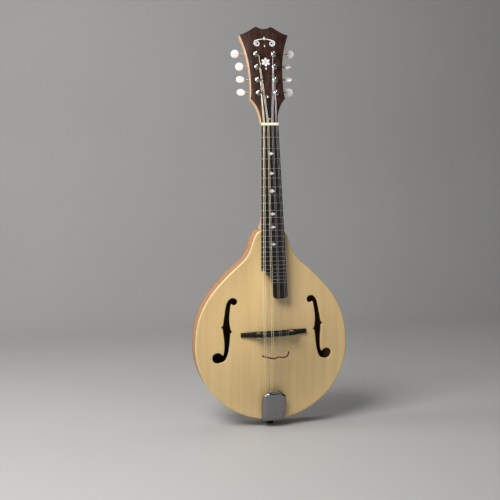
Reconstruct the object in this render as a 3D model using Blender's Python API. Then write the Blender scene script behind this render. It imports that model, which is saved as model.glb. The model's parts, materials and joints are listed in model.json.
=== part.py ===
"""Teardrop mandolin with f-holes, eight strings in four pairs and geared tuners.

+Z runs up the neck, +X is the treble side, -Y is the face.  The origin is the centre of the
end pin's flat outer face.  Lengths are in millimetres in this file and are turned into metres
when a mesh is made.
"""

import math

import bmesh
import bpy
from mathutils import Matrix, Vector

MM = 0.001
GAP = 0.3                      # clearance between pieces that touch

# ---- driving dimensions ---------------------------------------------------------------------
SCALE_LENGTH = 352.4           # nut to bridge
TAIL_Z = 12.0                  # tail end of the body, the end pin's projection
BRIDGE_Z = TAIL_Z + 153.0
BODY_END_Z = BRIDGE_Z + 174.0  # flat upper end of the body, where the heel sits
BODY_HALF_WIDTH = 132.7
BODY_DEPTH = 44.0              # over both plate edges
PLATE_EDGE = 4.5
TOP_ARCH = 15.0
BACK_ARCH = 12.0
PLATE_OVERHANG = 0.8
RIM_WALL = 2.4
FRONT_Y = -BODY_DEPTH / 2      # plane of the top plate's edge
BACK_Y = BODY_DEPTH / 2

NECK_ANGLE = 5.0               # degrees the neck leans back from the body
BOARD_HEIGHT = 14.0            # playing surface above the top's edge, at the twelfth fret
BOARD_THICKNESS = 5.0
BOARD_RADIUS = 240.0
NUT_WIDTH = 28.7
BOARD_WIDTH = 42.4             # at the twentieth fret
FRET_COUNT = 24
NUT_LENGTH = 5.0

HEAD_TILT = 10.0
HEAD_START = 0.8               # lower edge of the headstock above the nut
HEAD_CORE = 13.0
VENEER = 2.0
POST_PITCH = 23.0
POST_X = 15.3
FIRST_POST = 52.6              # lowest post above the nut
POST_RADIUS = 3.0
POST_HOLE = POST_RADIUS + 0.2
POST_WAIST = 2.4               # post's radius in its string groove
POST_GROOVE = 5.2              # groove above the veneer

STRING_ACTION = 4.7            # string above the board's plane at the bridge
BRIDGE_PAIR_PITCH = 13.1
NUT_PAIR_PITCH = 7.2
PAIR_GAP_BRIDGE = 2.9          # between the two strings of a pair
PAIR_GAP_NUT = 2.1
STRING_RADII = {"g": 0.5, "d": 0.35, "a": 0.2, "e": 0.15}

SHAFT_RUN = 0.08               # running clearance on turned pieces


# ---- materials ------------------------------------------------------------------------------
MATERIALS = {
    "spruce": ((0.78, 0.66, 0.42), 0.45, 0.0),
    "maple": ((0.72, 0.45, 0.27), 0.42, 0.0),
    "mahogany": ((0.66, 0.42, 0.25), 0.45, 0.0),
    "lining_wood": ((0.70, 0.55, 0.36), 0.7, 0.0),
    "rosewood": ((0.10, 0.05, 0.04), 0.45, 0.0),
    "ebony": ((0.02, 0.018, 0.018), 0.4, 0.0),
    "bone": ((0.86, 0.80, 0.64), 0.35, 0.0),
    "black_plastic": ((0.015, 0.015, 0.016), 0.25, 0.0),
    "chrome": ((0.80, 0.80, 0.82), 0.12, 1.0),
    "brass": ((0.78, 0.60, 0.28), 0.25, 1.0),
    "steel": ((0.62, 0.62, 0.64), 0.3, 1.0),
    "bronze": ((0.70, 0.46, 0.25), 0.35, 1.0),
    "pearloid": ((0.88, 0.87, 0.84), 0.25, 0.0),
    "leather": ((0.20, 0.06, 0.04), 0.8, 0.0),
}


def clear_scene():
    for obj in list(bpy.data.objects):
        bpy.data.objects.remove(obj, do_unlink=True)


def make_material(name):
    color, roughness, metallic = MATERIALS[name]
    material = bpy.data.materials.new(name)
    material.use_nodes = True
    shader = material.node_tree.nodes["Principled BSDF"]
    shader.inputs["Base Color"].default_value = (*color, 1.0)
    shader.inputs["Roughness"].default_value = roughness
    shader.inputs["Metallic"].default_value = metallic
    return material


def get_material(name):
    return bpy.data.materials.get(name) or make_material(name)


# ---- mesh helpers ---------------------------------------------------------------------------
def mesh_from(points, faces, matrix=None):
    """A mesh in metres from points in millimetres, with outward normals."""
    mesh = bpy.data.meshes.new("mesh")
    mesh.from_pydata([Vector(point) * MM for point in points], [], faces)
    if matrix:
        mesh.transform(in_metres(matrix))
    work = bmesh.new()
    work.from_mesh(mesh)
    bmesh.ops.recalc_face_normals(work, faces=work.faces)
    work.to_mesh(mesh)
    work.free()
    return mesh


def in_metres(matrix):
    """The same placement with its translation turned into metres."""
    result = matrix.copy()
    result.translation = matrix.translation * MM
    return result


def add_object(name, mesh, material=None, smooth=False):
    obj = bpy.data.objects.new(name, mesh)
    bpy.context.scene.collection.objects.link(obj)
    if material:
        mesh.materials.clear()
        mesh.materials.append(get_material(material))
    for polygon in mesh.polygons:
        polygon.use_smooth = smooth
    return obj


def set_origin(obj, point, axis_matrix=None):
    """Move an object's origin to a point (mm) without moving its mesh."""
    place = in_metres(axis_matrix.copy() if axis_matrix else Matrix.Identity(4))
    place.translation = Vector(point) * MM
    obj.data.transform(place.inverted())
    obj.matrix_world = place


def box_mesh(x, y, z, matrix=None):
    """A box from (low, high) ranges in millimetres."""
    points = [(px, py, pz) for px in x for py in y for pz in z]
    faces = [(0, 1, 3, 2), (4, 6, 7, 5), (0, 4, 5, 1), (2, 3, 7, 6), (0, 2, 6, 4), (1, 5, 7, 3)]
    return mesh_from(points, faces, matrix)


def prism_mesh(outline, y_low, y_high, matrix=None):
    """An (x, z) outline made solid between two y planes."""
    count = len(outline)
    points = [(x, y_low, z) for x, z in outline] + [(x, y_high, z) for x, z in outline]
    faces = [tuple(range(count)), tuple(range(count, 2 * count))]
    faces += [(i, (i + 1) % count, count + (i + 1) % count, count + i) for i in range(count)]
    return mesh_from(points, faces, matrix)


def loft_mesh(rings, matrix=None, closed=False):
    """Skin a list of equal rings of points; the ends are capped, or joined if closed."""
    count = len(rings[0])
    points = [point for ring in rings for point in ring]
    faces = []
    spans = len(rings) if closed else len(rings) - 1
    for span in range(spans):
        low = span * count
        high = ((span + 1) % len(rings)) * count
        faces += [(low + i, low + (i + 1) % count, high + (i + 1) % count, high + i) for i in range(count)]
    if not closed:
        faces += [tuple(range(count)), tuple(range(len(points) - count, len(points)))]
    return mesh_from(points, faces, matrix)


def lathe_mesh(profile, segments, matrix=None, closed=False):
    """Turn a profile of (radius, height) points about +Z; a closed profile makes a tube."""
    rings = []
    for step in range(segments):
        angle = 2 * math.pi * step / segments
        rings.append([(r * math.cos(angle), r * math.sin(angle), h) for r, h in profile])
    if closed:
        return loft_mesh(rings, matrix, closed=True)
    count = len(profile)
    points = [point for ring in rings for point in ring]
    faces = [tuple(step * count for step in range(segments))]
    faces += [tuple(step * count + count - 1 for step in range(segments))]
    for step in range(segments):
        low, high = step * count, ((step + 1) % segments) * count
        faces += [(low + i, low + i + 1, high + i + 1, high + i) for i in range(count - 1)]
    return mesh_from(points, faces, matrix)


def merge_meshes(meshes):
    """Several separate closed bodies in one mesh, for use as a cutter."""
    work = bmesh.new()
    for mesh in meshes:
        work.from_mesh(mesh)
    result = bpy.data.meshes.new("cutter")
    work.to_mesh(result)
    work.free()
    return result


def boolean(obj, mesh, operation):
    """Cut, join or intersect an object with a mesh and bake the result in."""
    tool = add_object("tool", mesh)
    modifier = obj.modifiers.new(operation.lower(), "BOOLEAN")
    modifier.operation = operation
    modifier.solver = "EXACT"
    modifier.object = tool
    graph = bpy.context.evaluated_depsgraph_get()
    graph.update()
    baked = bpy.data.meshes.new_from_object(obj.evaluated_get(graph))
    obj.modifiers.clear()
    obj.data = baked
    bpy.data.objects.remove(tool, do_unlink=True)
    work = bmesh.new()
    work.from_mesh(baked)
    bmesh.ops.remove_doubles(work, verts=work.verts, dist=0.005 * MM)
    bmesh.ops.dissolve_limit(work, angle_limit=math.radians(0.5), verts=work.verts, edges=work.edges)
    work.to_mesh(baked)
    work.free()
    return obj


def cut(obj, *meshes):
    return boolean(obj, merge_meshes(meshes), "DIFFERENCE")


def rod_mesh(radius, start, end, segments=10):
    """A cylinder between two points."""
    start, end = Vector(start), Vector(end)
    turn = (end - start).to_track_quat("Z", "Y").to_matrix().to_4x4()
    profile = [(radius, 0), (radius, (end - start).length)]
    return lathe_mesh(profile, segments, Matrix.Translation(start) @ turn)


def tube_along(path, radius, sides=6):
    """A round wire along a path of points that bends in the Y-Z plane."""
    rings = []
    for index, point in enumerate(path):
        before = Vector(path[max(index - 1, 0)])
        after = Vector(path[min(index + 1, len(path) - 1)])
        along = (after - before).normalized()
        across = Vector((1, 0, 0))
        across = (across - along * across.dot(along)).normalized()
        out = along.cross(across)
        ring = []
        for side in range(sides):
            angle = 2 * math.pi * side / sides
            ring.append(Vector(point) + radius * (math.cos(angle) * across + math.sin(angle) * out))
        rings.append(ring)
    return loft_mesh(rings)


# ---- curves ---------------------------------------------------------------------------------
def bezier(start, handle_a, handle_b, end, steps):
    """Points on a cubic curve, without its first point."""
    points = []
    for step in range(1, steps + 1):
        t = step / steps
        weights = ((1 - t) ** 3, 3 * t * (1 - t) ** 2, 3 * t * t * (1 - t), t ** 3)
        corners = (start, handle_a, handle_b, end)
        points.append(tuple(sum(w * c[axis] for w, c in zip(weights, corners)) for axis in range(2)))
    return points


def curve_between(start, start_angle, start_reach, end, end_angle, end_reach, steps):
    """A curve between two points; angles are measured from +Z towards -X, in degrees."""
    a, b = math.radians(start_angle), math.radians(end_angle)
    handle_a = (start[0] - start_reach * math.sin(a), start[1] + start_reach * math.cos(a))
    handle_b = (end[0] + end_reach * math.sin(b), end[1] - end_reach * math.cos(b))
    return bezier(start, handle_a, handle_b, end, steps)


def mirrored(half):
    """Close a right-hand half outline with its mirror image."""
    left = [(-x, z) for x, z in reversed(half) if abs(x) > 1e-6]
    return half + left


def offset_outline(outline, distance):
    """Move an anticlockwise (x, z) outline inwards by a distance."""
    result = []
    for index, (x, z) in enumerate(outline):
        x0, z0 = outline[index - 1]
        x1, z1 = outline[(index + 1) % len(outline)]
        normals = []
        for dx, dz in ((x - x0, z - z0), (x1 - x, z1 - z)):
            length = math.hypot(dx, dz)
            normals.append((-dz / length, dx / length))
        nx, nz = normals[0][0] + normals[1][0], normals[0][1] + normals[1][1]
        scale = 2 * distance / (nx * nx + nz * nz)
        result.append((x + nx * scale, z + nz * scale))
    return result


# ---- body shape -----------------------------------------------------------------------------
WIDEST_Z = BRIDGE_Z - 24.0
ARCH_CENTRE_Z = BRIDGE_Z - 10.0
SHOULDER = (54.0, BRIDGE_Z + 118.0)    # where the upper outline turns from convex to concave
SHOULDER_ANGLE = 50.0
WAIST = (34.0, BRIDGE_Z + 148.0)       # where it turns convex again, to round in to the neck
WAIST_ANGLE = 16.0
BODY_END_HALF = 19.5
BODY_END_ANGLE = 66.0


def body_outline():
    """The body seen from the front, anticlockwise from the tail up the treble side."""
    lower_steps, upper_steps, waist_steps, end_steps = 9, 9, 3, 4
    half = []
    for step in range(lower_steps + 1):
        angle = math.pi / 2 * step / lower_steps
        x = BODY_HALF_WIDTH * math.sin(angle)
        z = WIDEST_Z - (WIDEST_Z - TAIL_Z) * math.cos(angle)
        half.append((x, z))
    half += curve_between(half[-1], 0, 54, SHOULDER, SHOULDER_ANGLE, 82, upper_steps)
    end = (BODY_END_HALF, BODY_END_Z)
    half += curve_between(SHOULDER, SHOULDER_ANGLE, 13, WAIST, WAIST_ANGLE, 13, waist_steps)
    half += curve_between(WAIST, WAIST_ANGLE, 16, end, BODY_END_ANGLE, 7, end_steps)
    return mirrored(half)


OUTLINE = body_outline()
RIM_OUTER = offset_outline(OUTLINE, PLATE_OVERHANG)
RIM_INNER = offset_outline(OUTLINE, PLATE_OVERHANG + RIM_WALL)


def arch(share):
    """Height of a carved plate, 1 at the crown and 0 at the edge."""
    return 0.5 * (1 + math.cos(math.pi * min(share, 1.0) ** 1.25))


def radial_share(x, z):
    """How far a point is from the arch's centre, as a share of the way to the edge."""
    dx, dz = x, z - ARCH_CENTRE_Z
    best = 0.0
    for index, (x0, z0) in enumerate(OUTLINE):
        x1, z1 = OUTLINE[(index + 1) % len(OUTLINE)]
        ex, ez = x1 - x0, z1 - z0
        det = dx * ez - dz * ex
        if abs(det) < 1e-9:
            continue
        reach = (x0 * ez - (z0 - ARCH_CENTRE_Z) * ex) / det
        along = (x0 * dz - (z0 - ARCH_CENTRE_Z) * dx) / det
        if reach > 0 and -1e-6 <= along <= 1 + 1e-6:
            best = 1 / reach
    return best


def top_height(x, z):
    """Height of the top's outer face above its edge plane."""
    return TOP_ARCH * arch(radial_share(x, z))


def plate_mesh(edge_y, arch_height, side):
    """A carved plate; side is -1 for the top, whose arch rises towards -Y, +1 for the back."""
    shares = (0.22, 0.42, 0.6, 0.76, 0.9, 0.985)
    outer, inner = [], []
    for share in shares:
        ring = [(x * share, ARCH_CENTRE_Z + (z - ARCH_CENTRE_Z) * share) for x, z in OUTLINE]
        height = arch_height * arch(share)
        outer.append([(x, edge_y + side * height, z) for x, z in ring])
        inner.append([(x, edge_y + side * (height - PLATE_EDGE), z) for x, z in ring])
    edge_round = 1.2
    outer.append([(x, edge_y - side * edge_round, z) for x, z in OUTLINE])
    inner.append([(x, edge_y - side * (PLATE_EDGE - 0.2), z) for x, z in OUTLINE])
    rings = outer + inner[::-1]
    count = len(OUTLINE)
    points = [point for ring in rings for point in ring]
    faces = []
    for low in range(len(rings) - 1):
        for i in range(count):
            j = (i + 1) % count
            faces.append((low * count + i, low * count + j, (low + 1) * count + j, (low + 1) * count + i))
    for first, height in ((0, arch_height), ((len(rings) - 1) * count, arch_height - PLATE_EDGE)):
        points.append((0, edge_y + side * height, ARCH_CENTRE_Z))
        centre = len(points) - 1
        faces += [(first + i, first + (i + 1) % count, centre) for i in range(count)]
    return mesh_from(points, faces)


# ---- f-holes --------------------------------------------------------------------------------
F_UPPER_EYE = (66.3, BRIDGE_Z + 54.8, 5.8)     # x, z, radius
F_LOWER_EYE = (95.2, BRIDGE_Z - 40.9, 9.3)
# centre line of the slot from eye to eye: x, height above the bridge, half width
F_SPINE = ((71.5, 57.5, 2.8), (75.0, 50.5, 3.6), (77.6, 35.0, 4.3), (79.4, 19.0, 5.3), (79.3, 2.0, 6.0),
           (79.2, -14.0, 4.8), (80.6, -28.0, 3.8), (84.2, -40.0, 3.4), (90.0, -46.5, 2.8))
F_NICK = 3.4                                    # how far the two nicks stand out
F_NICK_HEIGHTS = (9.0, 1.0)                     # outer and inner nick above the bridge


def spine_side(side):
    """One edge of the f-hole's slot, side +1 for its outer edge, with its nick."""
    points = []
    nick = F_NICK_HEIGHTS[0 if side > 0 else 1]
    for index, (x, height, half) in enumerate(F_SPINE):
        before = F_SPINE[max(index - 1, 0)]
        after = F_SPINE[min(index + 1, len(F_SPINE) - 1)]
        dx, dz = after[0] - before[0], after[1] - before[1]
        length = math.hypot(dx, dz)
        points.append((x - side * half * dz / length, BRIDGE_Z + height + side * half * dx / length))
    middle = len(F_SPINE) // 2
    x, half = F_SPINE[middle][0], F_SPINE[middle][2]
    points[middle] = (x + side * (half + F_NICK), BRIDGE_Z + nick)
    return points


def f_hole_cutters(side):
    """Slot and two eyes of one f-hole; side +1 is the treble one."""
    slot = spine_side(+1) + spine_side(-1)[::-1]
    slot = [(side * x, z) for x, z in slot]
    y_range = (FRONT_Y - TOP_ARCH - 5, FRONT_Y + PLATE_EDGE + 2)
    cutters = [prism_mesh(slot, *y_range)]
    for x, z, radius in (F_UPPER_EYE, F_LOWER_EYE):
        cutters.append(rod_mesh(radius, (side * x, y_range[0], z), (side * x, y_range[1], z), 16))
    return cutters


# ---- body pieces ----------------------------------------------------------------------------
def ring_mesh(outer, inner, y_low, y_high):
    """A closed band between two outlines of equal length."""
    rings = []
    for (xo, zo), (xi, zi) in zip(outer, inner):
        rings.append([(xo, y_low, zo), (xo, y_high, zo), (xi, y_high, zi), (xi, y_low, zi)])
    return loft_mesh(rings, closed=True)


LINING_WIDTH = 5.0
LINING_HEIGHT = 6.0
RIM_FRONT = FRONT_Y + PLATE_EDGE + GAP
RIM_BACK = BACK_Y - PLATE_EDGE - GAP
PIN_SHANK = 3.4
PIN_LENGTH = 22.0              # of the shank inside the body


def lining_mesh(y_low, y_high, margin):
    """The glue strip inside the rim; margin grows it, for cutting its notch in the blocks."""
    outer = offset_outline(RIM_INNER, GAP - margin)
    inner = offset_outline(RIM_INNER, GAP + LINING_WIDTH + margin)
    return ring_mesh(outer, inner, y_low - margin, y_high + margin)


def build_block(name, x_half, z_range):
    """A solid block inside the rim, notched over the linings."""
    block = add_object(name, box_mesh((-x_half, x_half), (RIM_FRONT, RIM_BACK), z_range), "mahogany")
    inside = prism_mesh(offset_outline(RIM_INNER, GAP), RIM_FRONT - 5, RIM_BACK + 5)
    boolean(block, inside, "INTERSECT")
    front = lining_mesh(RIM_FRONT, RIM_FRONT + LINING_HEIGHT, GAP)
    back = lining_mesh(RIM_BACK - LINING_HEIGHT, RIM_BACK, GAP)
    cut(block, front, back)
    return block


def end_pin_hole():
    return rod_mesh(PIN_SHANK + GAP, (0, 0, TAIL_Z - 5), (0, 0, TAIL_Z + PIN_LENGTH + 1), 12)


def build_body():
    top = add_object("top_plate", plate_mesh(FRONT_Y, TOP_ARCH, -1), "spruce", smooth=True)
    for side in (1, -1):
        for cutter in f_hole_cutters(side):
            boolean(top, cutter, "DIFFERENCE")
    add_object("back_plate", plate_mesh(BACK_Y, BACK_ARCH, 1), "maple", smooth=True)
    rim = add_object("rim", ring_mesh(RIM_OUTER, RIM_INNER, RIM_FRONT, RIM_BACK), "maple")
    cut(rim, end_pin_hole())
    front = (RIM_FRONT, RIM_FRONT + LINING_HEIGHT)
    back = (RIM_BACK - LINING_HEIGHT, RIM_BACK)
    add_object("lining_top", lining_mesh(*front, 0), "lining_wood")
    add_object("lining_back", lining_mesh(*back, 0), "lining_wood")
    tail = build_block("tail_block", 28.0, (TAIL_Z, TAIL_Z + PIN_LENGTH))
    cut(tail, end_pin_hole())
    build_block("head_block", 40.0, (BODY_END_Z - 48, BODY_END_Z))
    for name, side in (("tone_bar_bass", -1), ("tone_bar_treble", 1)):
        add_object(name, tone_bar_mesh(side), "spruce")


def tone_bar_mesh(side):
    """A brace under the top that follows its carved inner face."""
    length, below_bridge, width, steps = 220.0, 105.0, 6.0, 8
    depth, end_depth = 9.0, 2.0
    tail_x, neck_x = 36.0, 28.0
    rings = []
    for step in range(steps + 1):
        share = step / steps
        z = BRIDGE_Z - below_bridge + length * share
        middle = side * (tail_x + (neck_x - tail_x) * share)
        under = end_depth + (depth - end_depth) * math.sin(math.pi * share) ** 0.6
        ring = []
        for x in (middle - width / 2, middle + width / 2):
            y = FRONT_Y - top_height(x, z) + PLATE_EDGE + 2 * GAP
            ring += [(x, y, z), (x, y + under, z)]
        rings.append([ring[0], ring[1], ring[3], ring[2]])
    return loft_mesh(rings)


# ---- neck -----------------------------------------------------------------------------------
def neck_frame():
    """Origin where the board's plane passes over the bridge, +Z up the neck, -Y out of it."""
    rise = SCALE_LENGTH / 2 * math.tan(math.radians(NECK_ANGLE))
    foot = Vector((0, FRONT_Y - BOARD_HEIGHT - rise, BRIDGE_Z))
    return Matrix.Translation(foot) @ Matrix.Rotation(-math.radians(NECK_ANGLE), 4, "X")


HEAD_DROP = 3.0                # veneer face below the board's face, at the nut


def head_frame():
    """Origin on the veneer's face at the nut's back edge, +Z up the headstock."""
    corner = Matrix.Translation((0, HEAD_DROP, SCALE_LENGTH + NUT_LENGTH))
    return neck_frame() @ corner @ Matrix.Rotation(-math.radians(HEAD_TILT), 4, "X")


NECK = neck_frame()
HEAD = head_frame()


def fret_position(number):
    """Height of a fret above the bridge, along the neck."""
    return SCALE_LENGTH * 2 ** (-number / 12)


def board_half_width(along):
    """Half width of the board at a height above the bridge."""
    nut, twentieth = SCALE_LENGTH, fret_position(20)
    share = (nut - along) / (nut - twentieth)
    return (NUT_WIDTH + (BOARD_WIDTH - NUT_WIDTH) * share) / 2


BOARD_END = SCALE_LENGTH - 291.5
FRET_RISE = 1.0
FRET_HALF = 0.6


def board_mesh():
    """Cambered, tapered board; each fret is a low ridge across it."""
    stations = [(SCALE_LENGTH, 0.0)]
    for number in range(1, FRET_COUNT + 1):
        along = fret_position(number)
        stations += [(along + 2 * FRET_HALF, 0.0), (along, FRET_RISE), (along - 2 * FRET_HALF, 0.0)]
    stations.append((BOARD_END, 0.0))
    rings = []
    for along, rise in stations:
        half = board_half_width(along)
        ring = []
        for share in (-1.0, -0.5, 0.0, 0.5, 1.0):
            x = half * share
            camber = BOARD_RADIUS - math.sqrt(BOARD_RADIUS ** 2 - x * x)
            ring.append((x, camber - rise, along))
        ring += [(half, BOARD_THICKNESS, along), (-half, BOARD_THICKNESS, along)]
        rings.append(ring)
    return loft_mesh(rings, NECK)


# steps of the board's end: the fret each follows, and how far across it cuts as a share of the half width
BOARD_STEPS = ((20, -0.56), (21, -0.10))
STEP_PAST_FRET = 3.0
EXTENSION_CORNER = 6.0


def extension_cutters():
    """What is cut from the board's end to leave the stepped treble extension."""
    y_range = (-3, BOARD_THICKNESS + 1)
    edge = board_half_width(BOARD_END)
    cutters = []
    for fret, share in BOARD_STEPS:
        height = (BOARD_END - 1, fret_position(fret) - STEP_PAST_FRET)
        cutters.append(box_mesh((-edge - 1, share * edge), y_range, height, NECK))
    bass_side = BOARD_STEPS[-1][1] * edge
    for side, x in ((-1, bass_side), (1, edge)):
        cutters.append(prism_mesh(corner_waste(side, x), *y_range, NECK))
    return cutters


def corner_waste(side, x):
    """The waste outside one rounded corner of the board's lower end."""
    centre, outside = x - side * EXTENSION_CORNER, x + side * 2
    outline = []
    for step in range(5):
        angle = math.pi / 2 * step / 4
        across, down = EXTENSION_CORNER * math.cos(angle), EXTENSION_CORNER * math.sin(angle)
        outline.append((centre + side * across, BOARD_END + EXTENSION_CORNER - down))
    outline += [(centre, BOARD_END - 2), (outside, BOARD_END - 2)]
    return outline + [(outside, BOARD_END + EXTENSION_CORNER)]


def build_fingerboard():
    board = add_object("fingerboard", board_mesh(), "ebony")
    for cutter in extension_cutters():
        boolean(board, cutter, "DIFFERENCE")


def head_outline():
    """Front view of the headstock in its own frame, anticlockwise."""
    shoulder = (NUT_WIDTH / 2, HEAD_START)
    lobe, waist = (29.9, 42.7), (27.8, 78.0)
    corner, peak = (42.4, 155.9), (12.8, 170.8)
    half = [(0, HEAD_START), shoulder]
    half += curve_between(shoulder, 0, 16, lobe, -45, 14, 6)
    half += curve_between(lobe, 12, 12, waist, 0, 14, 3)
    half += curve_between(waist, 0, 30, corner, -22, 26, 6)
    half += curve_between(corner, 76, 14, peak, 66, 9, 5)
    half += [(8.5, 168.2), (0, 166.8)]          # the shallow dip between the two peaks
    return mirrored(half)


def post_places():
    """(name, x, height above the nut) of the eight tuner posts, from the nut outwards."""
    places = []
    for side, strings in ((-1, ("g1", "g2", "d1", "d2")), (1, ("e2", "e1", "a2", "a1"))):
        for index, string in enumerate(strings):
            places.append((string, side * POST_X, FIRST_POST + POST_PITCH * index))
    return places


def post_hole_cutters():
    depths = (-5, VENEER + HEAD_CORE + 5)
    return [rod_mesh(POST_HOLE, *[HEAD @ Vector((x, depth, z)) for depth in depths], 12)
            for _, x, z in post_places()]


POCKET_HALF = 4.2
POCKET = (1.5, 34.0)           # height range of the truss rod's pocket in the headstock
POCKET_DEPTH = 12.6            # below the veneer's face
ROD_DEPTH = 11.5               # truss rod axis below the board's face
ROD_RADIUS = 2.4
ROD_END_FRET = 14              # the rod stops under this fret
ROD_NUT_BEYOND = 10.0          # its nut starts this far past the nut's front edge
ROD_NUT_RADIUS = 3.4
ROD_NUT_LENGTH = 8.0
SHAFT_DEPTH_NUT = 13.5         # neck behind the board, at the nut
SHAFT_DEPTH_BODY = 17.5        # and where it meets the body, if it had no heel
HEEL_DEPTH = 58.0
HEEL_CAP = 6.0                 # length of the heel's flat end
HEEL_LENGTH = 46.0             # from the body to where the heel has faded into the shaft
HEEL_FADE = 2.6                # exponent of the heel's curve
HEEL_NARROW = 0.06             # how much of the board's width the heel gives up
HEEL_BACK_Y = BACK_Y - 2.0
NECK_COSINE = math.cos(math.radians(NECK_ANGLE))


def shaft_depth(along):
    """Depth of the neck's shaft at a height above the bridge."""
    share = (SCALE_LENGTH - along) / (SCALE_LENGTH - (BODY_END_Z - BRIDGE_Z))
    return SHAFT_DEPTH_NUT + (SHAFT_DEPTH_BODY - SHAFT_DEPTH_NUT) * share


def neck_ring(along, top_drop, depth, half):
    """A level D-shaped section of the neck, never further back than the heel's flat end."""
    segments = 10
    y_top = (NECK @ Vector((0, BOARD_THICKNESS + GAP + top_drop, along))).y
    z = BRIDGE_Z + along * NECK_COSINE
    ring = []
    for step in range(segments + 1):
        angle = math.pi * step / segments
        y = min(y_top + depth * math.sin(angle), HEEL_BACK_Y)
        ring.append((half * math.cos(angle), y, z))
    return ring


def neck_mesh():
    """The neck's shaft, from the heel's flat end to inside the headstock."""
    rings = []
    for reach in (0.0, HEEL_CAP, 9.0, 14.0, 20.0, 28.0, 36.0, HEEL_LENGTH, 90.0, 140.0):
        along = (BODY_END_Z + GAP + reach - BRIDGE_Z) / NECK_COSINE
        share = (HEEL_LENGTH - max(reach, HEEL_CAP)) / (HEEL_LENGTH - HEEL_CAP)
        heel = max(0.0, share) ** HEEL_FADE
        depth = shaft_depth(along) * (1 - heel) + HEEL_DEPTH * heel
        rings.append(neck_ring(along, 0, depth, board_half_width(along) * (1 - HEEL_NARROW * heel)))
    # under the nut, then ending inside the headstock's slab
    nut_end = SCALE_LENGTH + NUT_LENGTH
    rings.append(neck_ring(SCALE_LENGTH, 0, SHAFT_DEPTH_NUT, NUT_WIDTH / 2))
    rings.append(neck_ring(nut_end, 0, SHAFT_DEPTH_NUT - 0.4, NUT_WIDTH / 2))
    rings.append(neck_ring(nut_end + 9, 4.0, SHAFT_DEPTH_NUT - 5.5, NUT_WIDTH / 2 - 0.3))
    return loft_mesh(rings)


def build_neck():
    neck = add_object("neck", neck_mesh(), "mahogany")
    slab = prism_mesh(head_outline(), VENEER + GAP, VENEER + GAP + HEAD_CORE, HEAD)
    boolean(neck, slab, "UNION")
    cut(neck, *post_hole_cutters())
    pocket = box_mesh((-POCKET_HALF, POCKET_HALF), (-1, POCKET_DEPTH), POCKET, HEAD)
    boolean(neck, pocket, "DIFFERENCE")
    slot_half = ROD_RADIUS + GAP
    slot_range = (fret_position(ROD_END_FRET), SCALE_LENGTH + ROD_NUT_BEYOND - 2)
    slot = box_mesh((-slot_half, slot_half), (0, ROD_DEPTH + slot_half), slot_range, NECK)
    boolean(neck, slot, "DIFFERENCE")
    veneer = add_object("headstock_veneer", prism_mesh(head_outline(), 0, VENEER, HEAD), "rosewood")
    cut(veneer, *post_hole_cutters())
    boolean(veneer, box_mesh((-POCKET_HALF, POCKET_HALF), (-1, VENEER + 1), POCKET, HEAD), "DIFFERENCE")


def build_truss_rod():
    """Rod in the neck, its turning nut in the headstock pocket, and the cover over it."""
    low = fret_position(ROD_END_FRET) + GAP
    high = SCALE_LENGTH + ROD_NUT_BEYOND + ROD_NUT_LENGTH + 1.0
    rod = rod_mesh(ROD_RADIUS, *[NECK @ Vector((0, ROD_DEPTH, along)) for along in (low, high)], 12)
    add_object("truss_rod", rod, "steel")
    bore = ROD_RADIUS + 2 * SHAFT_RUN
    profile = [(bore, 0), (ROD_NUT_RADIUS, 0), (ROD_NUT_RADIUS, ROD_NUT_LENGTH), (bore, ROD_NUT_LENGTH)]
    place = NECK @ Matrix.Translation((0, ROD_DEPTH, SCALE_LENGTH + ROD_NUT_BEYOND))
    nut = add_object("truss_rod_nut", lathe_mesh(profile, 12, place, closed=True), "brass")
    set_origin(nut, place.translation, place.to_3x3().to_4x4())
    half, low, high, thick = 5.0, 2.0, 50.0, 1.6
    right = [(half - 1, low), (half, 12), (0.8 * half, high - 6), (2, high)]
    outline = mirrored(right)
    add_object("truss_rod_cover", prism_mesh(outline, -GAP - thick, -GAP, HEAD), "black_plastic")


NUT_RISE = 1.4                 # nut above the board's face


def build_nut():
    half = NUT_WIDTH / 2
    front, back = GAP, NUT_LENGTH - GAP
    bottom = BOARD_THICKNESS
    profile = [(front, bottom), (front, -NUT_RISE), (back - 1.2, -NUT_RISE + 0.3),
               (back, 0.6), (back, bottom)]
    rings = [[(x, y, SCALE_LENGTH + along) for along, y in profile] for x in (-half, half)]
    add_object("nut", loft_mesh(rings, NECK), "bone")


# ---- bridge ---------------------------------------------------------------------------------
BRIDGE_HALF = 57.0
SADDLE_HALF = 36.0
WHEEL_X = 28.5
BASE_HALF_DEPTH = 5.0
SADDLE_HALF_DEPTH = 3.5
BRIDGE_TWIST = 1.4             # degrees, treble end nearer the neck
WHEEL_THICKNESS = 2.2
WHEEL_RADIUS = 6.0
STUD_RADIUS = 1.5
STUD_SUNK = 3.5                # stud below the base's face
STUD_ABOVE = 4.2               # stud above the wheel, inside the saddle
STUD_SPARE = 1.4               # room over the stud, for lowering the saddle
STRING_Y = (NECK @ Vector((0, -STRING_ACTION, 0))).y       # string height at the bridge
SADDLE_TOP_Y = STRING_Y + GAP + STRING_RADII["g"]
SADDLE_HEIGHT = 8.5
SADDLE_BOTTOM_Y = SADDLE_TOP_Y + SADDLE_HEIGHT
WHEEL_FRONT_Y = SADDLE_BOTTOM_Y + 0.1
BASE_FRONT_Y = WHEEL_FRONT_Y + WHEEL_THICKNESS + 0.6 + 1.0
BRIDGE_FRAME = Matrix.Translation((0, 0, BRIDGE_Z)) @ Matrix.Rotation(-math.radians(BRIDGE_TWIST), 4, "Y")


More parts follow.
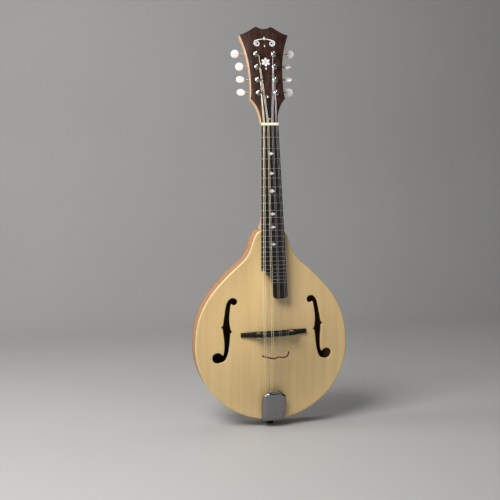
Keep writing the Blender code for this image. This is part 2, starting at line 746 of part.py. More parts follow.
def base_profile():
    """(x, y) outline of the bridge base: carved foot, arched top with two raised pads."""
    foot, steps = [], 12
    for step in range(steps + 1):
        x = -BRIDGE_HALF + 2 * BRIDGE_HALF * step / steps
        crown = max(top_height(x, BRIDGE_Z + deep) for deep in (-BASE_HALF_DEPTH, BASE_HALF_DEPTH))
        foot.append((x, FRONT_Y - crown - GAP))
    wing_tip = (BRIDGE_HALF, foot[0][1] - 3.0)
    top = [wing_tip, (WHEEL_X + 13, BASE_FRONT_Y + 1.2), (WHEEL_X + 8, BASE_FRONT_Y)]
    return foot + top + [(-x, y) for x, y in reversed(top)]


def build_bridge():
    """Base, its two threaded studs, the saddle, and the thumbwheels the saddle rests on."""
    rings = [[(x, y, z) for x, y in base_profile()] for z in (-BASE_HALF_DEPTH, BASE_HALF_DEPTH)]
    base = add_object("bridge_base", loft_mesh(rings, BRIDGE_FRAME), "ebony")
    saddle = add_object("bridge_saddle", saddle_mesh(), "ebony")
    bore = STUD_RADIUS + 2 * SHAFT_RUN
    base_holes, saddle_holes = [], []
    for name, side in (("bass", -1), ("treble", 1)):
        centre = BRIDGE_FRAME @ Vector((side * WHEEL_X, WHEEL_FRONT_Y, 0))
        stud_low = Vector((centre.x, BASE_FRONT_Y + STUD_SUNK, centre.z))
        stud_top = centre + Vector((0, -STUD_ABOVE, 0))
        add_object("bridge_stud_" + name, rod_mesh(STUD_RADIUS, stud_low, stud_top, 12), "steel")
        base_holes.append(rod_mesh(bore, stud_low + Vector((0, GAP, 0)), centre, 12))
        spare_top = stud_top - Vector((0, STUD_SPARE, 0))
        saddle_holes.append(rod_mesh(bore, centre + Vector((0, 3, 0)), spare_top, 12))
        profile = [(bore, 0), (WHEEL_RADIUS, 0),
                   (WHEEL_RADIUS, WHEEL_THICKNESS), (bore, WHEEL_THICKNESS)]
        place = Matrix.Translation(centre) @ Matrix.Rotation(-math.pi / 2, 4, "X")
        wheel = add_object("bridge_wheel_" + name, lathe_mesh(profile, 16, place, closed=True), "brass")
        set_origin(wheel, centre)
    cut(base, *base_holes)
    cut(saddle, *saddle_holes)


def saddle_mesh():
    """Cambered saddle that narrows to a crest and slopes off at both ends."""
    crest_half, chamfer, steps = 0.8, 2.5, 8
    half, low = SADDLE_HALF_DEPTH, SADDLE_BOTTOM_Y
    rings = []
    for step in range(steps + 1):
        x = -SADDLE_HALF + 2 * SADDLE_HALF * step / steps
        end_slope = 10.0 * max(0.0, abs(x) / SADDLE_HALF - 0.85)
        top = SADDLE_TOP_Y + x * x / (2 * BOARD_RADIUS) + end_slope
        rings.append([(x, low, -half), (x, top + chamfer, -half), (x, top, -crest_half),
                      (x, top, crest_half), (x, top + chamfer, half), (x, low, half)])
    return loft_mesh(rings, BRIDGE_FRAME)


# ---- strings --------------------------------------------------------------------------------
HOOK_Z = TAIL_Z + 22.0
TAIL_TILT = 8.0                # degrees the tailpiece rises towards the bridge
TAIL_LEAN = Matrix.Rotation(math.radians(TAIL_TILT), 4, "X")
TAIL_FRAME = Matrix.Translation((0, FRONT_Y - GAP, TAIL_Z)) @ TAIL_LEAN
TAIL_SHEET = 1.2
HOOK_HEIGHT = 3.4              # hook's top above the tailpiece's plate
HOOK_STRING = 4.8              # string above the plate's plane at its hook
HOOK_PAIR_PITCH = 7.4
HOOK_PAIR_GAP = 3.4


def string_x(order, pair_pitch, pair_gap):
    """Sideways place of one of the eight strings, counted from the bass side."""
    pair, second = divmod(order, 2)
    return (pair - 1.5) * pair_pitch + (second - 0.5) * pair_gap


def string_names():
    return [course + digit for course in "gdae" for digit in "12"]


def string_path(order):
    """Hook, saddle, nut and post points of one string."""
    name = string_names()[order]
    radius = STRING_RADII[name[0]]
    hook_x = string_x(order, HOOK_PAIR_PITCH, HOOK_PAIR_GAP)
    hook = TAIL_FRAME @ Vector((hook_x, -HOOK_STRING, HOOK_Z - TAIL_Z))
    x = string_x(order, BRIDGE_PAIR_PITCH, PAIR_GAP_BRIDGE)
    camber = x * x / (2 * BOARD_RADIUS)
    twist = math.tan(math.radians(BRIDGE_TWIST)) * x
    saddle = Vector((x, STRING_Y + camber, BRIDGE_Z + twist))
    nut_x = string_x(order, NUT_PAIR_PITCH, PAIR_GAP_NUT)
    nut = NECK @ Vector((nut_x, -NUT_RISE - GAP - radius, SCALE_LENGTH + 1.5))
    post_x, post_z = next((x, z) for post, x, z in post_places() if post == name)
    clear = POST_WAIST + GAP + radius
    inner = post_x - math.copysign(0.66 * clear, post_x)
    wrap = HEAD @ Vector((inner, -POST_GROOVE, post_z - 0.75 * clear))
    return [hook, saddle, nut, wrap], radius


def build_strings():
    for order, name in enumerate(string_names()):
        path, radius = string_path(order)
        material = "bronze" if name[0] in "gd" else "steel"
        add_object("string_" + name, tube_along(path, radius), material, smooth=True)


# ---- tailpiece, end pin, damper -------------------------------------------------------------
def build_tailpiece():
    """Bent plate with string hooks, and the sliding cover over it."""
    half, length, skirt, sheet = 19.0, 42.0, 15.0, TAIL_SHEET
    profile = [(0, -0.2), (0, length), (-sheet, length), (-sheet, -0.2 - GAP - sheet)]
    rings = []
    for x in (-half, half):
        plate = [TAIL_FRAME @ Vector((x, y, z)) for y, z in profile]
        fold = [(x, skirt, TAIL_Z - GAP - sheet), (x, skirt, TAIL_Z - GAP)]
        inner = [(x, FRONT_Y, TAIL_Z - GAP)]
        rings.append([*plate, *fold, *inner])
    base = add_object("tailpiece_base", loft_mesh(rings), "chrome")
    for order in range(8):
        x = string_x(order, HOOK_PAIR_PITCH, HOOK_PAIR_GAP)
        post = box_mesh((x - 0.6, x + 0.6), (-HOOK_HEIGHT - sheet, -sheet / 2),
                        (HOOK_Z - TAIL_Z - 4.0, HOOK_Z - TAIL_Z - 2.2), TAIL_FRAME)
        boolean(base, post, "UNION")
    cut(base, end_pin_hole())
    add_object("tailpiece_cover", cover_mesh(), "chrome")


COVER_WALL = 0.9
# height above the tail, half width, crown and rim above the plate's plane, front edge last
COVER_STATIONS = ((0.6, 18.0, 6.5, 3.2), (8.0, 20.5, 9.5, 3.2), (24.0, 21.5, 11.5, 3.2),
                  (41.0, 21.0, 12.3, 6.5), (46.5, 19.6, 12.8, 9.0), (51.0, 14.4, 12.8, 9.2),
                  (56.0, 8.5, 12.5, 9.4))


def cover_mesh():
    """A pressed shell, open towards the bridge, narrower and lifted at its front edge."""
    segments = 8
    grids = []
    for inset in (0.0, COVER_WALL):
        rows = []
        for z, half, crown, rim in COVER_STATIONS:
            row = []
            for step in range(segments + 1):
                angle = math.pi * step / segments
                flat = math.copysign(abs(math.cos(angle)) ** 0.6, math.cos(angle))
                rise = math.sin(angle) ** 0.6
                row.append((flat * (half - inset), -rim - rise * (crown - rim - inset), z))
            rows.append(row)
        grids.append(rows)
    return sheet_mesh(*grids, TAIL_FRAME)


def sheet_mesh(outer, inner, matrix):
    """A closed sheet between two equal grids of points."""
    rings = [row + inner_row[::-1] for row, inner_row in zip(outer, inner)]
    return loft_mesh(rings, matrix)


def build_end_pin():
    shank_top = TAIL_Z + PIN_LENGTH
    collar = TAIL_Z - GAP - TAIL_SHEET - GAP
    profile = [(5.2, 0), (6.6, 1.6), (6.4, 3.4), (4.2, 5.6), (4.0, 7.6), (6.0, collar - 0.8),
               (6.0, collar), (PIN_SHANK, collar), (PIN_SHANK - 0.6, shank_top)]
    add_object("end_pin", lathe_mesh(profile, 20), "ebony")


def after_length_point(x_at_hook, x_at_saddle, z):
    """Where a string is between the tailpiece and the saddle, at one height."""
    hook = TAIL_FRAME @ Vector((x_at_hook, -HOOK_STRING, HOOK_Z - TAIL_Z))
    share = (z - hook.z) / (BRIDGE_Z - hook.z)
    return hook.lerp(Vector((x_at_saddle, STRING_Y, BRIDGE_Z)), share)


DAMPER_BELOW = 38.0            # lace below the bridge
DAMPER_HALF = 25.0
DAMPER_THICK = 1.5
DAMPER_WIDE = 2.6
DAMPER_WEAVE = 1.9             # how far it passes over and under the strings


def build_damper():
    """A leather lace woven over and under the four pairs of strings."""
    z = BRIDGE_Z - DAMPER_BELOW
    middle = after_length_point(0, 0, z)
    pitch = after_length_point(HOOK_PAIR_PITCH, BRIDGE_PAIR_PITCH, z).x
    steps, half_thick, half_wide = 24, DAMPER_THICK / 2, DAMPER_WIDE / 2
    rings = []
    for step in range(steps + 1):
        x = -DAMPER_HALF + 2 * DAMPER_HALF * step / steps
        weave = math.sin(math.pi * x / pitch)
        weave = math.copysign(min(1.0, abs(weave) * 2.0), weave)
        y = middle.y + DAMPER_WEAVE * weave + x * x / (2 * BOARD_RADIUS)
        rings.append([(x, y - half_thick, z - half_wide), (x, y + half_thick, z - half_wide),
                      (x, y + half_thick, z + half_wide), (x, y - half_thick, z + half_wide)])
    add_object("string_damper", loft_mesh(rings), "leather")


# ---- tuners ---------------------------------------------------------------------------------
PLATE_FRONT = VENEER + GAP + HEAD_CORE + GAP     # headstock depth where the tuner plates lie
PLATE_SHEET = 1.2
GEAR_RADIUS = 4.6
GEAR_FRONT = PLATE_FRONT + PLATE_SHEET + 0.4
GEAR_THICKNESS = 3.4
WORM_RADIUS = 1.9
WORM_OFFSET = GEAR_RADIUS + WORM_RADIUS + 0.1    # worm axis beyond the post, towards the tip
WORM_DEPTH = GEAR_FRONT + GEAR_THICKNESS / 2
SHAFT_RADIUS = 1.4
RAIL_INNER, RAIL_OUTER = -7.6, 7.6               # rails beside the posts, outwards from them
RAIL_WIDTH = 1.4
BUTTON_RADIUS = 7.3
BUTTON_HALF = 2.3
BUTTON_OUT = (26.8, 26.8, 26.8, 33.2)            # button centre outwards from its post, from the nut
BUTTON_TURN = (-22, -24, 15, 20, 20, -40, -48, 20)   # how each button happens to be turned, degrees


def build_tuner_plate(name, side):
    """A channel-shaped plate that carries four worms; side -1 is the bass side."""
    low, high = FIRST_POST - 9.0, FIRST_POST + 3 * POST_PITCH + WORM_OFFSET + 5.5
    back = WORM_DEPTH + 3.0
    inner, outer = side * POST_X + side * RAIL_INNER, side * POST_X + side * RAIL_OUTER
    front, floor = PLATE_FRONT, PLATE_FRONT + PLATE_SHEET
    profile = [(inner - side * RAIL_WIDTH, front), (outer + side * RAIL_WIDTH, front),
               (outer + side * RAIL_WIDTH, back), (outer, back), (outer, floor), (inner, floor),
               (inner, back), (inner - side * RAIL_WIDTH, back)]
    rings = [[(x, y, z) for x, y in profile] for z in (low, high)]
    plate = add_object(name, loft_mesh(rings, HEAD), "chrome")
    holes = []
    for index in range(4):
        z = FIRST_POST + POST_PITCH * index
        x = side * POST_X
        through = [HEAD @ Vector((x, depth, z)) for depth in (front - 2, floor + 0.5)]
        holes.append(rod_mesh(POST_HOLE, *through, 12))
        ends = [HEAD @ Vector((x + reach, WORM_DEPTH, z + WORM_OFFSET)) for reach in (-12, 12)]
        holes.append(rod_mesh(SHAFT_RADIUS + 0.13, *ends, 10))
    cut(plate, *holes)
    return plate


def post_mesh():
    """String post with its gear, turned about +Z, which points out of the headstock's back."""
    gear_back, spigot = GEAR_FRONT + GEAR_THICKNESS, 1.8
    profile = [(1.6, -9.0), (POST_RADIUS, -8.6), (POST_RADIUS, -POST_GROOVE - 1.0),
               (POST_WAIST, -POST_GROOVE - 0.6), (POST_WAIST, -POST_GROOVE + 0.6),
               (POST_RADIUS, -POST_GROOVE + 1.0), (POST_RADIUS, GEAR_FRONT), (GEAR_RADIUS, GEAR_FRONT),
               (GEAR_RADIUS, gear_back), (spigot, gear_back), (spigot, gear_back + 1.0)]
    return lathe_mesh(profile, 12)


def shaft_mesh(reach):
    """Worm shaft turned about +Z, which points outwards to the button; 0 is beside the post."""
    end = reach - BUTTON_RADIUS - GAP
    profile = [(SHAFT_RADIUS, RAIL_INNER - RAIL_WIDTH - 1.0), (SHAFT_RADIUS, -4.2), (WORM_RADIUS, -4.0),
               (WORM_RADIUS, 4.0), (SHAFT_RADIUS, 4.2), (SHAFT_RADIUS, RAIL_OUTER + RAIL_WIDTH + 0.4),
               (2.2, RAIL_OUTER + RAIL_WIDTH + 0.5), (2.2, end - 0.6), (1.6, end)]
    return lathe_mesh(profile, 10)


def button_mesh():
    """A round flat button centred on the origin, its faces square to Y."""
    profile = [(BUTTON_RADIUS - 1.4, -BUTTON_HALF), (BUTTON_RADIUS, -BUTTON_HALF + 1.3),
               (BUTTON_RADIUS, BUTTON_HALF - 1.3), (BUTTON_RADIUS - 1.4, BUTTON_HALF)]
    return lathe_mesh(profile, 16, Matrix.Rotation(math.pi / 2, 4, "X"))


def build_tuners():
    build_tuner_plate("tuner_plate_bass", -1)
    build_tuner_plate("tuner_plate_treble", 1)
    post, button = post_mesh(), button_mesh()
    into_head = Matrix.Rotation(-math.pi / 2, 4, "X")
    for number, (string, x, z) in enumerate(post_places()):
        side = math.copysign(1, x)
        reach = BUTTON_OUT[number % 4]
        obj = add_object("tuner_post_" + string, post, "chrome")
        obj.matrix_world = in_metres(HEAD @ Matrix.Translation((x, 0, z)) @ into_head)
        beside = HEAD @ Matrix.Translation((x, WORM_DEPTH, z + WORM_OFFSET))
        outwards = Matrix.Rotation(side * math.pi / 2, 4, "Y")
        obj = add_object("tuner_worm_" + string, shaft_mesh(reach), "steel")
        obj.matrix_world = in_metres(beside @ outwards)
        turn = Matrix.Rotation(math.radians(BUTTON_TURN[number]), 4, "X")
        obj = add_object("tuner_button_" + string, button, "pearloid")
        obj.matrix_world = in_metres(beside @ Matrix.Translation((side * reach, 0, 0)) @ turn)


def build_all():
    clear_scene()
    build_body()
    build_fingerboard()
    build_neck()
    build_truss_rod()
    build_nut()
    build_bridge()
    build_strings()
    build_tailpiece()
    build_end_pin()
    build_damper()
    build_tuners()


build_all()
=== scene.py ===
"""Looks of the mandolin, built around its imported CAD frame.

Lengths are in millimetres here and are turned into metres when a mesh is made.  The body is
laid out in the row frame.  Four local frames carry the rest: NECK (+Z up the neck from under
the bridge), HEAD (+Z up the headstock from the nut), BRIDGE (turned with the slanted bridge)
and TAIL (+Z up the tailpiece's slope from the tail).  In each one -Y points out of the face.
"""

import json
import math

import bmesh
import bpy
import numpy as np
from mathutils import Matrix, Vector
from mathutils.geometry import delaunay_2d_cdt


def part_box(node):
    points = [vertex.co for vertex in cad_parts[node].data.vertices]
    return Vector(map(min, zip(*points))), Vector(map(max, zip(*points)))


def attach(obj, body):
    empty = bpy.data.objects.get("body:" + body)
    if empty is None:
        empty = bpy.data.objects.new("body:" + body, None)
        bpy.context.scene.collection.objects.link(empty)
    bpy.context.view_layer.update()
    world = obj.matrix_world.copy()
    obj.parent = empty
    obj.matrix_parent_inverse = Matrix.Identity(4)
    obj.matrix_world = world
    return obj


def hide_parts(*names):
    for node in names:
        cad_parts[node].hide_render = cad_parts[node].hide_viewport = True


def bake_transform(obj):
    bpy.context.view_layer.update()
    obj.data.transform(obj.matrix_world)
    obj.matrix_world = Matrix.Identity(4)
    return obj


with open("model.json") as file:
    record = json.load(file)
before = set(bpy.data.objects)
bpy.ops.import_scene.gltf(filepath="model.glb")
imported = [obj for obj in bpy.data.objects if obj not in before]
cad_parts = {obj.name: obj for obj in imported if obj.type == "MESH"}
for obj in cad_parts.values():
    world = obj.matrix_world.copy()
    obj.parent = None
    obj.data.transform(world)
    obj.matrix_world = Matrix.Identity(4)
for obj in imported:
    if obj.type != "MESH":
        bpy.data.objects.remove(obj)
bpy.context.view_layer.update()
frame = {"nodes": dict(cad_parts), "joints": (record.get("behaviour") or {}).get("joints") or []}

MM = 0.001
JOINTS = {joint["name"]: joint for joint in frame["joints"]}


def box_mm(node):
    low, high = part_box(node)
    return low / MM, high / MM


def joint_point(name):
    return Vector(JOINTS[name]["pos_m"]) / MM


def joint_axis(name):
    return Vector(JOINTS[name]["axis"]).normalized()


# ---- shared dimensions, as in the CAD source ------------------------------------------------
SCALE_LENGTH = 352.4
PLATE_EDGE = 4.5
TOP_ARCH = 15.0
BACK_ARCH = 12.0
NUT_WIDTH = 28.7
NUT_LENGTH = 5.0
BOARD_WIDTH = 42.4
BOARD_THICKNESS = 5.0
BOARD_RADIUS = 240.0
BOARD_END = SCALE_LENGTH - 291.5
FRET_COUNT = 24
HEAD_CORE = 13.0
VENEER = 2.0
GAP = 0.3
POST_PITCH = 23.0
FIRST_POST = 52.6
ROD_DEPTH = 11.5
ROD_NUT_BEYOND = 10.0          # truss rod nut beyond the end of the scale
HOOK_ABOVE_TAIL = 22.0
HOOK_STRING = 4.8
BRIDGE_PAIR_PITCH, BRIDGE_PAIR_GAP = 13.1, 2.9
NUT_PAIR_PITCH, NUT_PAIR_GAP = 7.2, 2.1
HOOK_PAIR_PITCH, HOOK_PAIR_GAP = 7.4, 3.4
STRING_RADII = {"g": 0.5, "d": 0.38, "a": 0.24, "e": 0.19}
STRINGS = [course + digit for course in "gdae" for digit in "12"]

TOP_LOW, TOP_HIGH = box_mm("top_plate")
BODY_HALF_WIDTH = TOP_HIGH.x
TAIL_Z, BODY_END_Z = TOP_LOW.z, TOP_HIGH.z
FRONT_Y = TOP_LOW.y + TOP_ARCH
BACK_Y = box_mm("back_plate")[1].y - BACK_ARCH
WHEELS = {-1: joint_point("thumbwheel_bass"), 1: joint_point("thumbwheel_treble")}
BRIDGE_Z = (WHEELS[-1].z + WHEELS[1].z) / 2
BRIDGE_TWIST = math.atan2(WHEELS[1].z - WHEELS[-1].z, WHEELS[1].x - WHEELS[-1].x)
BRIDGE = Matrix.Translation((0, 0, BRIDGE_Z)) @ Matrix.Rotation(-BRIDGE_TWIST, 4, "Y")


def frame_matrix(origin, up):
    """A frame whose Z is up and whose X is the row's X."""
    right = Vector((1, 0, 0))
    back = up.cross(right)
    matrix = Matrix((right, back, up)).transposed().to_4x4()
    matrix.translation = origin
    return matrix


NECK_UP = joint_axis("truss_rod_adjust")
NECK_ROD = frame_matrix(joint_point("truss_rod_adjust"), NECK_UP)
NECK = NECK_ROD @ Matrix.Translation((0, -ROD_DEPTH, -SCALE_LENGTH - ROD_NUT_BEYOND))
HEAD_UP = (joint_point("post_d2") - joint_point("post_g1")).normalized()
POST_X = joint_point("post_e2").x
HEAD = frame_matrix(joint_point("post_g1") + Vector((POST_X, 0, 0)) - HEAD_UP * FIRST_POST, HEAD_UP)
TAIL = frame_matrix(Vector((0, FRONT_Y - GAP, TAIL_Z)), joint_axis("cover_slide"))
STRING_Y = box_mm("bridge_saddle")[0].y - GAP - STRING_RADII["g"]
OUTWARDS = Matrix.Rotation(math.pi / 2, 4, "X")        # turns a lathe's +Z to face the viewer


# ---- mesh helpers ---------------------------------------------------------------------------
def in_metres(matrix):
    result = matrix.copy()
    result.translation = matrix.translation * MM
    return result


def new_object(name, points, faces, matrix=None, smooth=True):
    """A mesh object in metres from points in millimetres."""
    mesh = bpy.data.meshes.new(name)
    mesh.from_pydata([tuple(Vector(point) * MM) for point in points], [], faces)
    if matrix:
        mesh.transform(in_metres(matrix))
    work = bmesh.new()
    work.from_mesh(mesh)
    bmesh.ops.recalc_face_normals(work, faces=work.faces)
    work.to_mesh(mesh)
    work.free()
    obj = bpy.data.objects.new(name, mesh)
    bpy.context.scene.collection.objects.link(obj)
    if smooth:
        shade(obj)
    return obj


def shade(obj, angle=32):
    """Smooth shading with edges sharper than an angle kept crisp."""
    mesh = obj.data
    mesh.shade_smooth()
    work = bmesh.new()
    work.from_mesh(mesh)
    for edge in work.edges:
        if len(edge.link_faces) == 2:
            edge.smooth = edge.calc_face_angle(0) < math.radians(angle)
    work.to_mesh(mesh)
    work.free()


def bake(obj):
    """Apply an object's modifiers to its mesh."""
    graph = bpy.context.evaluated_depsgraph_get()
    graph.update()
    mesh = bpy.data.meshes.new_from_object(obj.evaluated_get(graph))
    obj.modifiers.clear()
    obj.data = mesh
    return obj


def bevel(obj, width, segments=2, angle=30):
    modifier = obj.modifiers.new("bevel", "BEVEL")
    modifier.width = width * MM
    modifier.segments = segments
    modifier.limit_method = "ANGLE"
    modifier.angle_limit = math.radians(angle)
    bake(obj)
    shade(obj)
    return obj


def boolean(obj, tools, operation="DIFFERENCE"):
    """Cut or join with other objects, which are then removed."""
    for tool in tools:
        modifier = obj.modifiers.new("boolean", "BOOLEAN")
        modifier.operation = operation
        modifier.solver = "EXACT"
        modifier.object = tool
        bake(obj)
        bpy.data.objects.remove(tool, do_unlink=True)
    return obj


def join(name, parts):
    """One object from several, keeping each one's materials."""
    work = bmesh.new()
    materials = []
    for part in parts:
        start = len(work.faces)
        mesh = part.data.copy()
        mesh.transform(part.matrix_world)
        work.from_mesh(mesh)
        work.faces.ensure_lookup_table()
        slot_of = []
        for material in part.data.materials:
            if material not in materials:
                materials.append(material)
            slot_of.append(materials.index(material))
        for face in work.faces[start:]:
            face.material_index = slot_of[min(face.material_index, len(slot_of) - 1)]
    mesh = bpy.data.meshes.new(name)
    work.to_mesh(mesh)
    work.free()
    for material in materials:
        mesh.materials.append(material)
    for part in parts:
        bpy.data.objects.remove(part, do_unlink=True)
    obj = bpy.data.objects.new(name, mesh)
    bpy.context.scene.collection.objects.link(obj)
    return obj


def loft(name, rings, matrix=None, closed=False, smooth=True):
    """Skin equal rings of points; the ends are capped, or joined if closed."""
    count = len(rings[0])
    points = [point for ring in rings for point in ring]
    faces = []
    for span in range(len(rings) if closed else len(rings) - 1):
        low, high = span * count, ((span + 1) % len(rings)) * count
        for i in range(count):
            j = (i + 1) % count
            faces.append((low + i, low + j, high + j, high + i))
    if not closed:
        faces += [tuple(range(count)), tuple(range(len(points) - count, len(points)))]
    return new_object(name, points, faces, matrix, smooth)


def lathe(name, profile, segments=32, matrix=None, closed=False):
    """Turn (radius, height) points about +Z.  A closed profile makes a ring."""
    rings = []
    for radius, height in profile:
        ring = []
        for step in range(segments):
            angle = 2 * math.pi * step / segments
            ring.append((radius * math.cos(angle), radius * math.sin(angle), height))
        rings.append(ring)
    return loft(name, rings, matrix, closed)


def prism(name, outline, y_low, y_high, matrix=None):
    """An (x, z) outline made solid between two y planes."""
    rings = [[(x, y, z) for x, z in outline] for y in (y_low, y_high)]
    return loft(name, rings, matrix)


def block(name, x, y, z, matrix=None):
    outline = [(x[0], z[0]), (x[1], z[0]), (x[1], z[1]), (x[0], z[1])]
    return prism(name, outline, y[0], y[1], matrix)


def tube(name, path, radius, sides=10, matrix=None):
    """A round wire along a path; radius may be a list, one value a point."""
    path = [Vector(point) for point in path]
    radii = radius if isinstance(radius, (list, tuple)) else [radius] * len(path)
    along = (path[1] - path[0]).normalized()
    across = along.orthogonal().normalized()
    rings = []
    for index, point in enumerate(path):
        ahead = (path[min(index + 1, len(path) - 1)] - path[max(index - 1, 0)]).normalized()
        across = (across - ahead * across.dot(ahead)).normalized()
        out = ahead.cross(across)
        ring = []
        for side in range(sides):
            angle = 2 * math.pi * side / sides
            ring.append(point + radii[index] * (math.cos(angle) * across + math.sin(angle) * out))
        rings.append(ring)
    return loft(name, rings, matrix)


def painted(obj, material):
    obj.data.materials.clear()
    obj.data.materials.append(material)
    return obj


def finish_piece(obj, material, body, *nodes, slot=None):
    """Give a piece its look, the body it rides on and the CAD nodes it stands for."""
    if material is not None:
        painted(obj, material)
    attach(obj, body)
    if nodes:
        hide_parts(*nodes)
    return obj


# ---- curves ---------------------------------------------------------------------------------
def curve_between(start, start_angle, start_reach, end, end_angle, end_reach, steps):
    """Cubic curve without its first point; angles run from +Z towards -X, in degrees."""
    a, b = math.radians(start_angle), math.radians(end_angle)
    corners = (start, (start[0] - start_reach * math.sin(a), start[1] + start_reach * math.cos(a)),
               (end[0] + end_reach * math.sin(b), end[1] - end_reach * math.cos(b)), end)
    points = []
    for step in range(1, steps + 1):
        t = step / steps
        weights = ((1 - t) ** 3, 3 * t * (1 - t) ** 2, 3 * t * t * (1 - t), t ** 3)
        points.append(tuple(sum(w * c[axis] for w, c in zip(weights, corners)) for axis in range(2)))
    return points


def mirrored(half):
    return half + [(-x, z) for x, z in reversed(half) if abs(x) > 1e-6]


def offset_outline(outline, distance):
    """Move an anticlockwise outline inwards by a distance."""
    points = np.array(outline, float)
    ahead = np.roll(points, -1, 0) - points
    ahead /= np.linalg.norm(ahead, axis=1)[:, None]
    normal = np.stack([-ahead[:, 1], ahead[:, 0]], 1)
    both = normal + np.roll(normal, 1, 0)
    length = np.maximum((both ** 2).sum(1), 0.8)
    return [tuple(p) for p in points + 2 * distance * both / length[:, None]]


def resampled(outline, spacing):
    """The same closed outline with evenly spaced points."""
    points = np.array(outline + outline[:1], float)
    steps = np.linalg.norm(np.diff(points, axis=0), axis=1)
    total = np.concatenate([[0], np.cumsum(steps)])
    count = max(8, int(total[-1] / spacing))
    marks = np.linspace(0, total[-1], count, endpoint=False)
    return [tuple(float(np.interp(m, total, points[:, axis])) for axis in range(2)) for m in marks]


def smooth_path(knots, steps):
    """Catmull-Rom curve through knots of any width, as a list of tuples."""
    knots = [np.array(k, float) for k in knots]
    knots = [2 * knots[0] - knots[1]] + knots + [2 * knots[-1] - knots[-2]]
    points = []
    for a, b, c, d in zip(knots, knots[1:], knots[2:], knots[3:]):
        for step in range(steps):
            t = step / steps
            points.append(0.5 * (2 * b + (c - a) * t + (2 * a - 5 * b + 4 * c - d) * t * t
                                 + (3 * b - a - 3 * c + d) * t ** 3))
    points.append(knots[-2])
    return [tuple(float(v) for v in p) for p in points]


def inside(points, polygon):
    """Which of the points lie inside a polygon."""
    points, polygon = np.array(points, float), np.array(polygon, float)
    result = np.zeros(len(points), bool)
    x, z = points[:, 0], points[:, 1]
    for (x0, z0), (x1, z1) in zip(polygon, np.roll(polygon, -1, 0)):
        if z0 == z1:
            continue
        crosses = (z0 > z) != (z1 > z)
        result ^= crosses & (x < x0 + (z - z0) * (x1 - x0) / (z1 - z0))
    return result


# ---- body shape -----------------------------------------------------------------------------
WIDEST_Z = BRIDGE_Z - 24.0
ARCH_CENTRE_Z = BRIDGE_Z - 10.0
SHOULDER = (54.0, BRIDGE_Z + 118.0)
WAIST = (34.0, BRIDGE_Z + 148.0)
BODY_END_HALF = 19.5


def body_outline():
    """The body from the front, anticlockwise from the tail up the treble side."""
    half = []
    for step in range(46):
        angle = math.pi / 2 * step / 45
        half.append((BODY_HALF_WIDTH * math.sin(angle), WIDEST_Z - (WIDEST_Z - TAIL_Z) * math.cos(angle)))
    half += curve_between(half[-1], 0, 54, SHOULDER, 50, 82, 44)
    half += curve_between(SHOULDER, 50, 13, WAIST, 16, 13, 14)
    half += curve_between(WAIST, 16, 16, (BODY_END_HALF, BODY_END_Z), 66, 7, 14)
    return mirrored(half)


OUTLINE = body_outline()
EDGE = sorted((math.atan2(x, z - ARCH_CENTRE_Z), math.hypot(x, z - ARCH_CENTRE_Z)) for x, z in OUTLINE)
EDGE_ANGLES = np.array([angle for angle, _ in EDGE])
EDGE_REACH = np.array([reach for _, reach in EDGE])


def arch(x, z):
    """Height of a carved plate, 1 at its crown and 0 at its edge."""
    x, z = np.asarray(x, float), np.asarray(z, float) - ARCH_CENTRE_Z
    reach = np.interp(np.arctan2(x, z), EDGE_ANGLES, EDGE_REACH, period=2 * math.pi)
    share = np.minimum(np.hypot(x, z) / reach, 1.0)
    return 0.5 * (1 + np.cos(math.pi * share ** 1.25))


def top_y(x, z):
    return FRONT_Y - TOP_ARCH * arch(x, z)


# ---- f-holes --------------------------------------------------------------------------------
F_UPPER_EYE = (66.3, 54.8, 5.8)          # x, height above the bridge, radius
F_LOWER_EYE = (95.2, -40.9, 9.3)
# the slot's middle line: x, height above the bridge, half width
F_SPINE = ((64.0, 58.4, 1.8), (69.5, 58.4, 2.8), (74.0, 53.6, 3.6), (76.6, 45.0, 4.1), (78.6, 32.0, 4.4),
           (79.9, 19.0, 5.3), (79.6, 7.5, 6.5), (79.4, -6.0, 5.3), (79.8, -20.0, 4.2), (81.6, -33.0, 3.7),
           (86.0, -43.5, 3.5), (93.0, -47.4, 2.4))
F_NICKS = ((12.0, 1, 3.6), (4.0, -1, 3.6))       # height, side and depth of the two nicks


def f_hole_outline():
    """One f-hole, anticlockwise, at positive x: a slot, two nicks and an eye at each end."""
    path = smooth_path(F_SPINE, 10)
    sides = {}
    for side in (1, -1):
        edge = []
        for before, here, after in zip([path[0]] + path, path, path[1:] + [path[-1]]):
            dx, dz = after[0] - before[0], after[1] - before[1]
            length = math.hypot(dx, dz)
            edge.append((here[0] - side * here[2] * dz / length, here[1] + side * here[2] * dx / length))
        for height, nick_side, depth in F_NICKS:
            if nick_side == side:
                edge = add_nick(edge, height, side, depth)
        eyes = (F_UPPER_EYE, F_LOWER_EYE)
        sides[side] = [p for p in edge if all(math.dist(p, eye[:2]) > eye[2] for eye in eyes)]
    outer, inner = sides[1], sides[-1]
    outline = outer + arc_between(F_LOWER_EYE, outer[-1], inner[-1])
    outline += inner[::-1] + arc_between(F_UPPER_EYE, inner[0], outer[0])
    outline = [(x, BRIDGE_Z + z) for x, z in outline]
    return outline[::-1] if signed_area(outline) < 0 else outline


def add_nick(edge, height, side, depth):
    """Push one point of a slot's edge out into a small notch."""
    nearest = min(range(len(edge)), key=lambda i: abs(edge[i][1] - height))
    tip = (edge[nearest][0] + side * depth, height)
    kept = [p for p in edge if abs(p[1] - height) > 2.6]
    place = next(i for i, p in enumerate(kept) if p[1] < height)
    shoulder_x = tip[0] - side * depth * 0.62
    shoulders = [(shoulder_x, height + 1.5), tip, (shoulder_x, height - 1.5)]
    return kept[:place] + shoulders + kept[place:]


